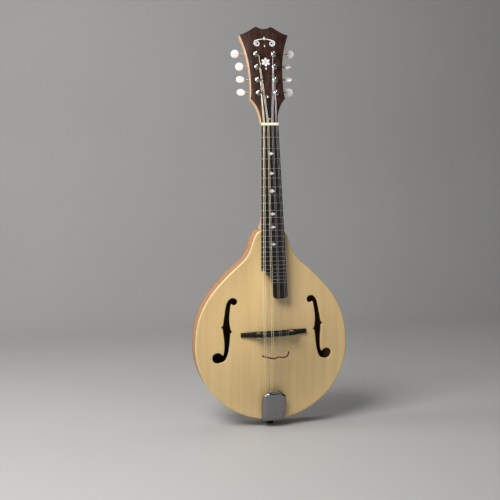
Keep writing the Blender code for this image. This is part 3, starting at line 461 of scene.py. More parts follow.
def arc_between(eye, start, end):
    """Points on an eye's circle from one slot edge to the other, the long way round."""
    x, z, radius = eye
    first = math.atan2(start[1] - z, start[0] - x)
    last = math.atan2(end[1] - z, end[0] - x)
    turn = (last - first) % (2 * math.pi)
    if turn < math.pi:
        turn -= 2 * math.pi
    steps = 26
    return [(x + radius * math.cos(first + turn * i / steps), z + radius * math.sin(first + turn * i / steps))
            for i in range(1, steps)]


def signed_area(outline):
    points = np.array(outline)
    ahead = np.roll(points, -1, 0)
    return 0.5 * float((points[:, 0] * ahead[:, 1] - points[:, 1] * ahead[:, 0]).sum())


# ---- carved plates --------------------------------------------------------------------------
def sheet_triangles(loops, spacing):
    """Points and triangles that fill the first loop and leave the others open."""
    points, edges = [], []
    for loop in loops:
        first = len(points)
        points += loop
        edges += [(first + i, first + (i + 1) % len(loop)) for i in range(len(loop))]
    rim = np.array(points)
    low, high = rim.min(0), rim.max(0)
    grid = [(x, z) for x in np.arange(low[0], high[0], spacing) for z in np.arange(low[1], high[1], spacing)]
    grid = np.array(grid)
    keep = inside(grid, loops[0])
    for loop in loops[1:]:
        keep &= ~inside(grid, loop)
    grid = grid[keep]
    nearest = np.array([np.hypot(*(rim - p).T).min() for p in grid])
    grid = grid[nearest > 0.45 * spacing]
    points += [tuple(p) for p in grid]
    done = delaunay_2d_cdt([Vector(p) for p in points], edges, [], 0, 1e-4)
    flat, faces = np.array([tuple(v) for v in done[0]]), np.array(done[2])
    centres = flat[faces].mean(1)
    keep = inside(centres, loops[0])
    for loop in loops[1:]:
        keep &= ~inside(centres, loop)
    return flat, faces[keep]


def carved_plate(name, side, edge_y, height, holes, spacing=4.5):
    """A carved plate: side -1 rises towards -Y.  Its outer edge and hole edges are rounded."""
    edge_round, hole_round = 2.2, 0.5
    outer = resampled(OUTLINE, 2.6)
    loops = [offset_outline(outer, edge_round)] + [offset_outline(hole, -hole_round) for hole in holes]
    sharp = [outer] + holes
    flat, faces = sheet_triangles(loops, spacing)
    crown = edge_y + side * height * arch(flat[:, 0], flat[:, 1])
    count = len(flat)
    points = [(x, y, z) for (x, z), y in zip(flat, crown)]
    points += [(x, y - side * PLATE_EDGE, z) for (x, z), y in zip(flat, crown)]
    all_faces = [tuple(f) for f in faces] + [tuple(count + i for i in f) for f in faces]
    first = 0
    for loop, edge, radius in zip(loops, sharp, [edge_round] + [hole_round] * len(holes)):
        size = len(loop)
        rows = [list(range(first, first + size))]
        for step in range(1, 5):
            angle = math.pi / 2 * step / 4
            rows.append(ring_row(points, loop, edge, math.sin(angle), -side * radius * (1 - math.cos(angle)),
                                 crown[first:first + size]))
        drop = -side * (PLATE_EDGE - 0.3)
        rows.append(ring_row(points, loop, edge, 1.0, drop, crown[first:first + size]))
        rows.append([count + i for i in rows[0]])
        for upper, lower in zip(rows, rows[1:]):
            for i in range(size):
                j = (i + 1) % size
                all_faces.append((upper[i], upper[j], lower[j], lower[i]))
        first += size
    plate = new_object(name, points, all_faces)
    plate["inner_faces"] = [len(faces), 2 * len(faces)]
    return plate


def ring_row(points, loop, edge, share, drop, heights):
    """Add one ring of an edge's rounding, a share of the way from loop to edge."""
    start = len(points)
    for (x0, z0), (x1, z1), y in zip(loop, edge, heights):
        points.append((x0 + (x1 - x0) * share, y + drop, z0 + (z1 - z0) * share))
    return list(range(start, start + len(loop)))


def build_body(look):
    hole = resampled(f_hole_outline(), 1.1)
    other = [(-x, z) for x, z in hole][::-1]
    top = carved_plate("top_visual", -1, FRONT_Y, TOP_ARCH, [hole, other])
    finish_piece(top, look["spruce"], "instrument", "top_plate", slot="spruce")
    back = carved_plate("back_visual", 1, BACK_Y, BACK_ARCH, [])
    finish_piece(back, look["maple_back"], "instrument", "back_plate", slot="maple")
    # The plates' inner faces get a much darker wood: painted shade for the dark inside of the body.
    for plate in (top, back):
        plate.data.materials.append(look["inner_wood_painted_shade"])
        first, last = plate["inner_faces"]
        for face in plate.data.polygons[first:last]:
            face.material_index = 1
    build_rim(look)
    # The blocks and linings inside take the same darkened wood, painted shade; the tone bars keep raw spruce.
    inner = {"head_block": "inner_wood_painted_shade", "tail_block": "inner_wood_painted_shade", "lining_top": "inner_wood_painted_shade",
             "lining_back": "inner_wood_painted_shade", "tone_bar_bass": "raw_spruce", "tone_bar_treble": "raw_spruce"}
    for node, material in inner.items():
        painted(frame["nodes"][node], look[material])


def build_rim(look):
    """The bent sides, with the length round the body kept for the grain."""
    outer = offset_outline(resampled(OUTLINE, 3.0), 0.8)
    inner = offset_outline(resampled(OUTLINE, 3.0), 3.2)
    y_low, y_high = FRONT_Y + PLATE_EDGE, BACK_Y - PLATE_EDGE
    rings, travel, marks = [], 0.0, []
    for index, ((xo, zo), (xi, zi)) in enumerate(zip(outer, inner)):
        travel += math.dist(outer[index - 1], (xo, zo)) if index else 0.0
        ring = [(xo, y_low + (y_high - y_low) * s / 4, zo) for s in range(5)]
        rings.append(ring + [(xi, y_high, zi), (xi, y_low, zi)])
        marks += [travel * MM] * len(rings[-1])
    rim = loft("rim_visual", rings, closed=True)
    rim.data.attributes.new("travel", "FLOAT", "POINT").data.foreach_set("value", marks)
    finish_piece(rim, look["maple_side"], "instrument", "rim", slot="maple")


# ---- neck and headstock ---------------------------------------------------------------------
def fret_at(number):
    """A fret's height above the bridge, along the neck."""
    return SCALE_LENGTH * 2 ** (-number / 12)


def board_half(along):
    share = (SCALE_LENGTH - along) / (SCALE_LENGTH - fret_at(20))
    return (NUT_WIDTH + (BOARD_WIDTH - NUT_WIDTH) * share) / 2


def camber(x):
    return BOARD_RADIUS - math.sqrt(BOARD_RADIUS ** 2 - x * x)


HEAD_START = 0.8
HEAD_LOBE = (29.9, 42.7)
HEAD_WAIST = (27.8, 78.0)
HEAD_CORNER = (42.4, 155.9)
HEAD_PEAK = (12.8, 170.8)


def head_outline(steps=1):
    """Front view of the headstock, anticlockwise; steps makes it finer."""
    nut = (NUT_WIDTH / 2, HEAD_START)
    half = [(0, HEAD_START), nut]
    half += curve_between(nut, 0, 16, HEAD_LOBE, -45, 14, 8 * steps)
    half += curve_between(HEAD_LOBE, 12, 12, HEAD_WAIST, 0, 14, 5 * steps)
    half += curve_between(HEAD_WAIST, 0, 30, HEAD_CORNER, -22, 26, 8 * steps)
    half += curve_between(HEAD_CORNER, 76, 14, HEAD_PEAK, 66, 9, 6 * steps)
    half += curve_between(HEAD_PEAK, 118, 3, (0, 166.8), 90, 6, 4 * steps)
    return mirrored(half)


HEEL_LENGTH = 46.0
HEEL_CAP = 6.0
HEEL_BACK_Y = BACK_Y - 2.0


def neck_ring(along, z, drop, depth, half, fullness=0.0, segments=28):
    """D-shaped section of the neck, its flat side under the board; fullness squares its back."""
    y_top = (NECK @ Vector((0, BOARD_THICKNESS + drop, along))).y
    ring = []
    for step in range(segments + 1):
        angle = math.pi * step / segments
        y = y_top + depth * math.sin(angle) ** 0.92
        over = y - HEEL_BACK_Y + 1.5
        if over > 0:
            y = HEEL_BACK_Y - 1.5 + 1.5 * (1 - math.exp(-over / 1.5))
        across = math.copysign(abs(math.cos(angle)) ** (1 - 0.5 * fullness), math.cos(angle))
        ring.append((half * across, y, z))
    return ring


def build_neck(look):
    """Shaft and heel in one skin, joined to the headstock's core."""
    rings = []
    lean = NECK_UP.z
    start, top = BODY_END_Z + GAP, BRIDGE_Z + SCALE_LENGTH * lean
    for step in range(41):
        reach = (top - start) * (step / 40) ** 1.4
        z = start + reach
        along = (z - BRIDGE_Z) / lean
        share = (SCALE_LENGTH - along) / (SCALE_LENGTH - (BODY_END_Z - BRIDGE_Z))
        grow = max(0.0, (HEEL_LENGTH - max(reach, HEEL_CAP)) / (HEEL_LENGTH - HEEL_CAP)) ** 2.6
        depth = (13.5 + 4.0 * share) * (1 - grow) + 58.0 * grow
        rings.append(neck_ring(along, z, 0, depth, board_half(along) * (1 - 0.06 * grow), grow))
    under_head = ((3.0, 0.3, 13.4), (NUT_LENGTH, 0.3, 13.1), (10.0, 3.0, 10.0), (14.0, 5.0, 7.4))
    for beyond, drop, depth in under_head:
        along = SCALE_LENGTH + beyond
        rings.append(neck_ring(along, BRIDGE_Z + along * lean, drop, depth, NUT_WIDTH / 2 - 0.1))
    shaft = loft("neck_shaft", rings)
    core = prism("neck_core", head_outline(2), VENEER, VENEER + HEAD_CORE, HEAD)
    bevel(core, 0.8, 3)
    neck = boolean(shaft, [core], "UNION")
    neck.name = "neck_visual"
    shade(neck, 38)
    finish_piece(neck, look["mahogany"], "instrument", "neck", slot="mahogany")


POST_HOLE = 4.0                # radius of a tuner post's hole through the overlay


def build_veneer(look):
    veneer = prism("headstock_veneer_visual", head_outline(3), 0, VENEER - 0.05, HEAD)
    bevel(veneer, 0.35, 2)
    cutters = []
    for _, x, z in post_places():
        place = HEAD @ Matrix.Translation((x, 0, z)) @ OUTWARDS
        cutters.append(lathe("cutter", [(POST_HOLE, -5), (POST_HOLE, 5)], 32, place))
    boolean(veneer, cutters)
    shade(veneer)
    finish_piece(veneer, look["rosewood"], "instrument", "headstock_veneer", slot="rosewood")


def post_places():
    """(string, x, height above the nut) of the tuner posts, from the nut outwards."""
    places = []
    for side, names in ((-1, ("g1", "g2", "d1", "d2")), (1, ("e2", "e1", "a2", "a1"))):
        for index, name in enumerate(names):
            places.append((name, side * POST_X, FIRST_POST + POST_PITCH * index))
    return places


# ---- inlays ---------------------------------------------------------------------------------
def snowflake(size, points, waist, stretch=1.0):
    """A pointed star outline round the origin."""
    outline = []
    for step in range(points * 2):
        angle = math.pi * step / points
        reach = size if step % 2 == 0 else size * waist
        outline.append((-reach * math.sin(angle) * stretch, reach * math.cos(angle)))
    return outline


def petal(length, width, base, lean, start=0.0, fullness=0.8):
    """A pointed leaf outline that starts beyond base and leans by an angle in degrees."""
    side = [(width / 2 * math.sin(math.pi * (i / 8) ** fullness), start + (length - start) * i / 8)
            for i in range(9)]
    outline = side + [(-x, z) for x, z in side[-2:0:-1]]
    turn = math.radians(lean)
    c, s = math.cos(turn), math.sin(turn)
    return [(base[0] + x * c - z * s, base[1] + x * s + z * c) for x, z in outline]


def build_head_inlays(look):
    """A six-pointed pearl star with a drop below it, and a plain double scroll near the tip."""
    thick = (-0.06, 0.4)
    parts = []
    for step in range(6):
        parts.append(prism("leaf", petal(8.2, 4.4, (0, 107.2), 60 * step, 0.3, 1.35), *thick, HEAD))
    parts.append(prism("drop", petal(4.6, 2.2, (0, 97.6), 180), *thick, HEAD))
    star = join("headstock_star_inlay", [painted(part, look["pearl"]) for part in parts])
    finish_piece(star, None, "instrument")
    parts = [scroll(side) for side in (-1, 1)]
    parts.append(prism("lozenge", snowflake(3.6, 2, 0.5), *thick, HEAD @ Matrix.Translation((0, 0, 149.5))))
    parts.append(prism("lozenge", snowflake(2.4, 2, 0.5), *thick, HEAD @ Matrix.Translation((0, 0, 136.0))))
    ornament = join("headstock_scroll_inlay", [painted(part, look["pearl"]) for part in parts])
    finish_piece(ornament, None, "instrument")


def scroll(side):
    """Half of the ornament: a flat ribbon that swells along an arch and ends in a coil."""
    path, widths = [], []
    steps, coil_x, coil_z, turns = 60, 13.0, 140.5, 1.6
    for step in range(9):
        share = step / 8
        path.append((coil_x * share, coil_z + 5.6 - 2.6 * math.sin(math.pi * (0.5 + share / 2) + math.pi)))
        widths.append(0.45 + 0.45 * share)
    for step in range(1, steps + 1):
        share = step / steps
        angle = math.pi / 2 - 2 * math.pi * turns * share
        reach = 5.6 * (1 - 0.78 * share)
        path.append((coil_x + reach * math.cos(angle), coil_z + reach * math.sin(angle)))
        widths.append(0.90 - 0.25 * share)
    rings = []
    for index, ((x, z), width) in enumerate(zip(path, widths)):
        ahead = Vector(path[min(index + 1, len(path) - 1)]) - Vector(path[max(index - 1, 0)])
        across = Vector((-ahead.y, ahead.x)).normalized() * width
        corners = ((1, -0.06), (1, 0.4), (-1, 0.4), (-1, -0.06))
        rings.append([(side * (x + across.x * sign), y, z + across.y * sign) for sign, y in corners])
    return loft("scroll", rings, HEAD, smooth=False)


def build_board_inlays(look):
    """Pearl snowflakes between the frets, drawn out sideways."""
    sizes = {3: (2.9, 1.9), 5: (2.8, 1.9), 7: (3.9, 1.35), 10: (2.8, 2.1), 12: (2.7, 2.1), 15: (2.5, 2.0)}
    for number, (size, stretch) in sizes.items():
        middle = (fret_at(number) + fret_at(number - 1)) / 2
        outline = [(x, z + middle) for x, z in snowflake(size, 4, 0.6, stretch)]
        inlay = prism(f"board_inlay_{number}", outline, -0.05, 0.5, NECK)
        finish_piece(inlay, look["pearl"], "instrument")


# ---- fingerboard ----------------------------------------------------------------------------
STEP_CUTS = ((-0.56, 20), (-0.10, 21))   # share of the half width where each step ends, last fret


def board_left_edge(along):
    """The board's bass-side edge, which steps in past the twentieth fret."""
    half = board_half(along)
    left = -half
    for share, last_fret in STEP_CUTS:
        if along < fret_at(last_fret) - 3.0:
            left = share * board_half(BOARD_END)
    return left


def build_fingerboard(look):
    stations = [SCALE_LENGTH + (BOARD_END - 1 - SCALE_LENGTH) * step / 48 for step in range(49)]
    rings = []
    for along in stations:
        half = board_half(along)
        ring = [(half * s / 6, camber(half * s / 6), along) for s in range(-6, 7)]
        rings.append(ring + [(half, BOARD_THICKNESS - 0.1, along), (-half, BOARD_THICKNESS - 0.1, along)])
    board = loft("fingerboard_visual", rings, NECK)
    treble = board_half(BOARD_END)
    tools = [prism("cutter", extension_waste(treble), -4, BOARD_THICKNESS + 2, NECK)]
    board = boolean(board, tools)
    bevel(board, 0.4, 2, 50)
    finish_piece(board, look["ebony_board"], "instrument", "fingerboard", slot="ebony")
    for number in range(1, FRET_COUNT + 1):
        build_fret(number, look)


def extension_waste(treble):
    """Outline of the waste that leaves the stepped, round-ended treble extension."""
    low = BOARD_END - 5
    outline = [(-treble - 5, low)]
    corner = 6.0
    right = [(treble - corner + corner * math.sin(a), BOARD_END + corner - corner * math.cos(a))
             for a in (math.pi / 2 * i / 10 for i in range(11))]
    left_x = STEP_CUTS[1][0] * treble
    left = [(left_x + corner - corner * math.cos(a), BOARD_END + corner - corner * math.sin(a))
            for a in (math.pi / 2 * i / 10 for i in range(11))]
    outline += [(treble + 5, low), (treble + 5, BOARD_END + corner)]
    outline += right[::-1] + left[::-1]
    second_top = fret_at(STEP_CUTS[1][1]) - 3.0
    first_top = fret_at(STEP_CUTS[0][1]) - 3.0
    first_x = STEP_CUTS[0][0] * treble
    outline += scallop((left_x, second_top), (first_x, second_top))
    outline += scallop((first_x, first_top), (-treble - 5, first_top))
    return outline


def scallop(inner, outer):
    """The two corners of one step, with a small cove between them."""
    x0, z0 = inner
    x1, _ = outer
    cove = 1.6
    points = [(x0, z0 - cove)]
    points += [(x0 - cove * math.sin(a), z0 - cove * math.cos(a)) for a in (0.5, 1.0)]
    return points + [(x0 - cove, z0), (x1, z0)]


def build_fret(number, look):
    """A domed wire across the board, its ends filed to a slope."""
    along = fret_at(number)
    left, right = board_left_edge(along), board_half(along)
    rings = []
    for step in range(13):
        x = left + (right - left) * step / 12
        ends = min(1.0, 0.25 + min(x - left, right - x) / 1.2)
        ring = []
        for corner in range(7):
            angle = math.pi * corner / 6
            ring.append((x, camber(x) - 0.9 * ends * math.sin(angle) + 0.05, along + 0.65 * math.cos(angle)))
        rings.append(ring + [(x, camber(x) + 0.9, along - 0.3), (x, camber(x) + 0.9, along + 0.3)])
    fret = loft(f"fret_{number}", rings, NECK)
    finish_piece(fret, look["fret_wire"], "instrument")


# ---- nut, truss rod -------------------------------------------------------------------------
def spread(order, pair_pitch, pair_gap):
    """Sideways place of one of the eight strings, counted from the bass side."""
    pair, second = divmod(order, 2)
    return (pair - 1.5) * pair_pitch + (second - 0.5) * pair_gap


def build_nut(look):
    """Bone nut, rounded over towards the headstock, with eight string slots."""
    half, rise = NUT_WIDTH / 2, 1.5
    profile = [(0.05, BOARD_THICKNESS), (0.05, -rise + 0.4), (0.4, -rise)]
    profile += [(0.4 + 4.2 * math.sin(a), -rise + 1.9 * (1 - math.cos(a)))
                for a in (math.pi / 2 * i / 8 for i in range(1, 9))]
    profile.append((4.75, BOARD_THICKNESS))
    rings = [[(x, y + (camber(x) if y < 1 else 0), SCALE_LENGTH + along) for along, y in profile]
             for x in (half * s / 8 for s in range(-8, 9))]
    nut = loft("nut_visual", rings, NECK)
    slots = []
    for order, name in enumerate(STRINGS):
        x = spread(order, NUT_PAIR_PITCH, NUT_PAIR_GAP)
        radius = STRING_RADII[name[0]] + 0.08
        y = nut_string_y(order)
        ends = [(x, y - 0.1, SCALE_LENGTH - 2), (x, y - 0.1, SCALE_LENGTH + 8)]
        slots.append(tube("slot", ends, radius, 10, NECK))
    boolean(nut, slots)
    bevel(nut, 0.2, 2, 40)
    finish_piece(nut, look["bone"], "instrument", "nut", slot="bone")


def nut_string_y(order):
    """String height over the nut, in the neck's frame."""
    name = STRINGS[order]
    return -1.5 + camber(spread(order, NUT_PAIR_PITCH, NUT_PAIR_GAP)) - 0.25 * STRING_RADII[name[0]]


def build_truss_rod(look):
    for node, material in (("truss_rod", "steel"), ("truss_rod_nut", "brass")):
        painted(frame["nodes"][node], look[material])
    half, low, high = 5.0, 1.2, 51.0
    outline = [(-half + 0.8, low), (half - 0.8, low)]
    outline += curve_between((half - 0.8, low), 0, 8, (half, 14.0), 0, 6, 5)
    outline += curve_between((half, 14.0), 0, 16, (2.4, high - 3), 10, 14, 10)
    outline += [(0.9, high), (-0.9, high)]
    outline += [(-x, z) for x, z in reversed(outline[2:-2])]
    cover = prism("truss_rod_cover_visual", outline, -1.9, -0.02, HEAD)
    bevel(cover, 0.5, 3)
    screws = [screw_head(HEAD @ Matrix.Translation((0, -1.85, z)) @ OUTWARDS, 1.7, look["nickel"])
              for z in (low + 4.2, high - 6.5)]
    cover = join("truss_rod_cover_visual", [painted(cover, look["black_plastic"])] + screws)
    finish_piece(cover, None, "instrument", "truss_rod_cover", slot="black_plastic")


def screw_head(place, radius, material):
    """A small domed wood screw with a cross cut in it; +Z of place points out."""
    dome = ((1, -0.3), (1, 0.12), (0.82, 0.45), (0.5, 0.62), (0.12, 0.68))
    head = lathe("screw", [(radius * share, height) for share, height in dome], 24, place)
    arm, wide = radius * 0.62, radius * 0.11
    cuts = [block("cut", (-arm, arm), (-wide, wide), (0.25, 2), place),
            block("cut", (-wide, wide), (-arm, arm), (0.25, 2), place)]
    boolean(head, cuts)
    shade(head)
    return painted(head, material)


# ---- bridge ---------------------------------------------------------------------------------
BRIDGE_HALF = 57.0
SADDLE_HALF = 35.5
SADDLE_HEIGHT = 8.5
WHEEL_THICKNESS = 2.2
SADDLE_LOW_Y = WHEELS[1].y - 0.1
SADDLE_TOP_Y = SADDLE_LOW_Y - SADDLE_HEIGHT
WHEEL_BACK_Y = WHEELS[1].y + WHEEL_THICKNESS
BASE_Y = WHEEL_BACK_Y + 1.6


def build_bridge(look):
    build_bridge_base(look)
    build_saddle(look)
    for side, name in ((-1, "bass"), (1, "treble")):
        place = Matrix.Translation(WHEELS[side]) @ OUTWARDS
        wheel = knurled_wheel("bridge_wheel_visual_" + name, place)
        finish_piece(wheel, look["nickel"], "bridge_wheel_" + name, "bridge_wheel_" + name, slot="brass")
        low = BASE_Y + 3.2 - WHEELS[side].y
        profile = [(1.45, -low)]
        height = -low
        while height < 3.9:
            profile += [(1.5, height + 0.1), (1.28, height + 0.35)]
            height += 0.5
        stud = lathe("bridge_stud_visual_" + name, profile + [(1.2, 4.1)], 20, place)
        finish_piece(stud, look["nickel"], "instrument", "bridge_stud_" + name, slot="steel")


def knurled_wheel(name, place):
    """A thumbwheel with a fine straight knurl and a bore for its stud."""
    teeth, radius, bore = 40, 5.3, 1.62
    rings = []
    for radius_share, height in ((None, 0.0), (0.93, 0.0), (1.0, -0.35), (1.0, -WHEEL_THICKNESS + 0.35),
                                 (0.93, -WHEEL_THICKNESS), (None, -WHEEL_THICKNESS)):
        ring = []
        for step in range(teeth * 2):
            angle = math.pi * step / teeth
            reach = bore if radius_share is None else radius * radius_share - (0.3 if step % 2 else 0.0)
            ring.append((reach * math.cos(angle), reach * math.sin(angle), height))
        rings.append(ring)
    return loft(name, rings, place, closed=True)


def bored(part, radius):
    """Drill a part of the bridge for its two studs."""
    cutters = []
    for side in (-1, 1):
        place = Matrix.Translation(WHEELS[side]) @ OUTWARDS
        cutters.append(lathe("cutter", [(radius, -9.0), (radius, 5.7)], 24, place))
    return boolean(part, cutters)


def build_bridge_base(look):
    """Carved base: fitted feet, arched underside and tapered wings."""
    steps, half_deep = 48, 5.0
    rings = []
    for step in range(steps + 1):
        x = -BRIDGE_HALF + 2 * BRIDGE_HALF * step / steps
        out = abs(x) / BRIDGE_HALF
        foot = min(top_y(x, BRIDGE_Z - 5), top_y(x, BRIDGE_Z + 5)) - 0.12
        lift = 2.0 * max(0.0, 1 - (abs(x) / 22.0) ** 2)
        wing = max(0.0, min(1.0, (abs(x) - 35.0) / 14.0))
        wing = wing * wing * (3 - 2 * wing)
        face = BASE_Y * (1 - wing) + (foot - 3.6 - 1.6 * (1 - out)) * wing
        deep = half_deep - 1.1 * max(0.0, out - 0.55) / 0.45
        narrow = deep * 0.80
        ring = [(x, foot - lift, -deep), (x, foot - lift, deep), (x, (foot + face) / 2, deep * 0.97),
                (x, face + 1.0, narrow), (x, face, narrow - 0.9), (x, face, -narrow + 0.9),
                (x, face + 1.0, -narrow), (x, (foot + face) / 2, -deep * 0.97)]
        rings.append(ring)
    base = bored(loft("bridge_base_visual", rings, BRIDGE), 1.62)
    bevel(base, 0.4, 2, 45)
    finish_piece(base, look["ebony"], "instrument", "bridge_base", slot="ebony")


def saddle_crest(order):
    """How far a pair's rest is set back along the saddle, for compensation."""
    return (1.1, -0.4, 1.2, -0.9)[order // 2]


def build_saddle(look):
    """Saddle with a stepped, compensated crest and a slot for each string."""
    steps, half_deep, crest_half = 72, 3.4, 0.8
    rings = []
    for step in range(steps + 1):
        x = -SADDLE_HALF + 2 * SADDLE_HALF * step / steps
        pair = min(3, max(0, int(math.floor(x / BRIDGE_PAIR_PITCH)) + 2))
        crest = saddle_crest(pair * 2)
        ends = max(0.0, abs(x) / SADDLE_HALF - 0.82) / 0.18
        top = SADDLE_TOP_Y + camber(x) + 3.4 * ends ** 2
        low = SADDLE_LOW_Y - 1.5 * max(0.0, 1 - (abs(x) / 20.0) ** 2)
        shoulder = half_deep * 0.86
        rings.append([(x, low, -half_deep), (x, low - 2.0, -half_deep), (x, top + 2.2, -shoulder),
                      (x, top, crest - crest_half), (x, top, crest + crest_half),
                      (x, top + 2.2, shoulder), (x, low - 2.0, half_deep), (x, low, half_deep)])
    saddle = loft("bridge_saddle_visual", rings, BRIDGE)
    slots = []
    for order, name in enumerate(STRINGS):
        point = saddle_point(order)
        radius = STRING_RADII[name[0]] + 0.06
        slots.append(tube("slot", [point + Vector((0, 0, -6)), point + Vector((0, 0, 6))], radius, 10))
    boolean(bored(saddle, 1.72), slots)
    shade(saddle, 30)
    finish_piece(saddle, look["ebony"], "bridge_saddle", "bridge_saddle", slot="ebony")


def saddle_point(order):
    """Where one string crosses the saddle."""
    x = spread(order, BRIDGE_PAIR_PITCH, BRIDGE_PAIR_GAP)
    radius = STRING_RADII[STRINGS[order][0]]
    local = Vector((x, SADDLE_TOP_Y + camber(x) - 0.35 * radius, saddle_crest(order)))
    return BRIDGE @ local


# ---- strings --------------------------------------------------------------------------------
POST_WAIST = 2.4
POST_GROOVE = 5.2


def hook_point(order):
    return TAIL @ Vector((spread(order, HOOK_PAIR_PITCH, HOOK_PAIR_GAP), -HOOK_STRING + 1.2, HOOK_ABOVE_TAIL))


def build_string(order, look):
    """Speaking length, after-length with its loop, and the winding on the post."""
    name = STRINGS[order]
    radius = STRING_RADII[name[0]]
    material = look["bronze_wound"] if name[0] in "gd" else look["plain_steel"]
    saddle, hook = saddle_point(order), hook_point(order)
    nut_x = spread(order, NUT_PAIR_PITCH, NUT_PAIR_GAP)
    nut = NECK @ Vector((nut_x, nut_string_y(order), SCALE_LENGTH + 0.6))
    behind = NECK @ Vector((nut_x, nut_string_y(order) + 0.5, SCALE_LENGTH + 3.6))
    post_x, post_z = next((x, z) for post, x, z in post_places() if post == name)
    side = math.copysign(1, post_x)
    reach = POST_WAIST + radius
    leave = HEAD @ Vector((post_x - side * reach, -POST_GROOVE, post_z))
    line = [saddle.lerp(nut, step / 40) for step in range(41)] + [behind]
    line += [behind.lerp(leave, step / 6) for step in range(1, 7)]
    speaking = painted(tube(f"string_{name}_speaking", line, radius), material)
    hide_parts("string_" + name)
    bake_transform(speaking)
    straight = tube("straight", [hook.lerp(saddle, step / 24) for step in range(25)], radius)
    loop_twist = tube("twist", twist_path(hook, saddle, radius), radius * 0.9, 8)
    parts = [painted(part, material) for part in (straight, loop_twist, hook_loop(order, radius))]
    after = join(f"string_{name}_after", parts)
    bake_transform(after)
    build_winding(name, post_x, post_z, radius, material)


def twist_path(hook, saddle, radius):
    """The loop's tail wrapped round the string just above the hook."""
    along = (saddle - hook).normalized()
    across = Vector((1, 0, 0))
    out = along.cross(across).normalized()
    path = []
    for step in range(61):
        angle = 2 * math.pi * step / 10
        point = hook + along * (1.8 + 0.14 * step)
        path.append(point + 1.7 * radius * (math.cos(angle) * across + math.sin(angle) * out))
    return path


def hook_loop(order, radius):
    """The loop end of a string round its hook."""
    x = spread(order, HOOK_PAIR_PITCH, HOOK_PAIR_GAP)
    centre = Vector((x, -HOOK_STRING + 1.2, HOOK_ABOVE_TAIL - 1.8))
    path = []
    for step in range(21):
        angle = math.pi / 2 + 2 * math.pi * step / 20
        path.append(TAIL @ (centre + Vector((1.25 * math.cos(angle), 0, 1.8 * math.sin(angle)))))
    return tube("loop", path, radius * 0.8, 8)


def build_winding(name, post_x, post_z, radius, material):
    """Coils of string round the post's groove; they turn with the post."""
    side = -math.copysign(1, post_x)
    turns, steps = 3.2, 22
    path = []
    for step in range(int(turns * steps) + 1):
        angle = 2 * math.pi * step / steps
        reach = POST_WAIST + radius
        sink = POST_GROOVE - radius * 1.9 * (step / steps)
        x, z = post_x + side * reach * math.cos(angle), post_z + reach * math.sin(angle)
        path.append(Vector((x, -sink, z)))
    last = path[-1]
    path.append(Vector((post_x, last.y, post_z)))
    winding = tube(f"string_{name}_winding", path, radius, 8, HEAD)
    finish_piece(winding, material, "tuner_post_" + name)


# ---- tailpiece, end pin, lace ---------------------------------------------------------------
TAIL_SHEET = 1.2
TAIL_HALF = 19.0
TAIL_LENGTH = 42.0
FOLD_DEPTH = 15.0
COVER_WALL = 0.9
# height above the tail, half width, crown and rim above the plate
COVER_STATIONS = ((0.6, 18.0, 6.5, 3.2), (8.0, 20.5, 9.5, 3.2), (24.0, 21.5, 11.5, 3.2),
                  (36.0, 21.4, 12.2, 4.6), (42.0, 20.9, 12.6, 7.2), (46.5, 19.7, 12.8, 9.0),
                  (49.0, 16.8, 12.8, 9.2), (52.0, 12.6, 12.8, 9.3), (56.0, 8.4, 12.5, 9.4))


def smoothstep(low, high, value):
    share = min(1.0, max(0.0, (value - low) / (high - low)))
    return share * share * (3 - 2 * share)


def build_tailpiece(look):
    """Plate folded over the tail, its eight hooks and screws, and the pressed cover."""
    plate = prism("plate", rounded_box(-TAIL_HALF, TAIL_HALF, -0.9, TAIL_LENGTH, 4.0), -TAIL_SHEET, 0, TAIL)
    fold_back = Matrix.Rotation(math.radians(90), 4, "X")
    low_z = TAIL_Z - GAP - TAIL_SHEET
    place = Matrix.Translation((0, 0, low_z)) @ fold_back
    folded = rounded_box(-TAIL_HALF, TAIL_HALF, FRONT_Y - 1.2, FOLD_DEPTH, 4.0)
    fold = prism("fold", folded, -TAIL_SHEET, 0, place)
    pin_hole = lathe("cutter", [(3.8, low_z - 3), (3.8, low_z + 4)], 32)
    boolean(fold, [pin_hole])
    bevel(plate, 0.25, 2, 50)
    bevel(fold, 0.25, 2, 50)
    parts = [plate, fold]
    for order in range(8):
        parts.append(tailpiece_hook(spread(order, HOOK_PAIR_PITCH, HOOK_PAIR_GAP)))
    for part in parts:
        painted(part, look["chrome"])
    down = Matrix.Rotation(math.pi, 4, "X")
    for x, y in ((-12.5, 0.5), (12.5, 0.5), (0, 10.5)):
        parts.append(screw_head(Matrix.Translation((x, y, low_z)) @ down, 2.3, look["nickel"]))
    base = join("tailpiece_base_visual", parts)
    finish_piece(base, None, "instrument", "tailpiece_base", slot="chrome")
    cover = tailpiece_cover()
    finish_piece(cover, look["chrome"], "tailpiece_cover", "tailpiece_cover", slot="chrome")


def rounded_box(x_low, x_high, z_low, z_high, corner, steps=5):
    """Outline of a rectangle with round corners, anticlockwise."""
    outline = []
    centres = ((x_high - corner, z_low + corner, -90), (x_high - corner, z_high - corner, 0),
               (x_low + corner, z_high - corner, 90), (x_low + corner, z_low + corner, 180))
    for x, z, start in centres:
        for step in range(steps + 1):
            angle = math.radians(start + 90 * step / steps)
            outline.append((x + corner * math.cos(angle), z + corner * math.sin(angle)))
    return outline


def tailpiece_hook(x):
    """A round prong that leans back over its string loop."""
    knots = [(x, -0.6, 20.3), (x, -2.2, 20.2), (x, -3.7, 19.6), (x, -4.3, 18.4), (x, -3.9, 17.2)]
    path = smooth_path(knots, 4)
    radii = [0.62 - 0.18 * (index / (len(path) - 1)) ** 2 for index in range(len(path))]
    return tube("hook", path, radii, 10, TAIL)


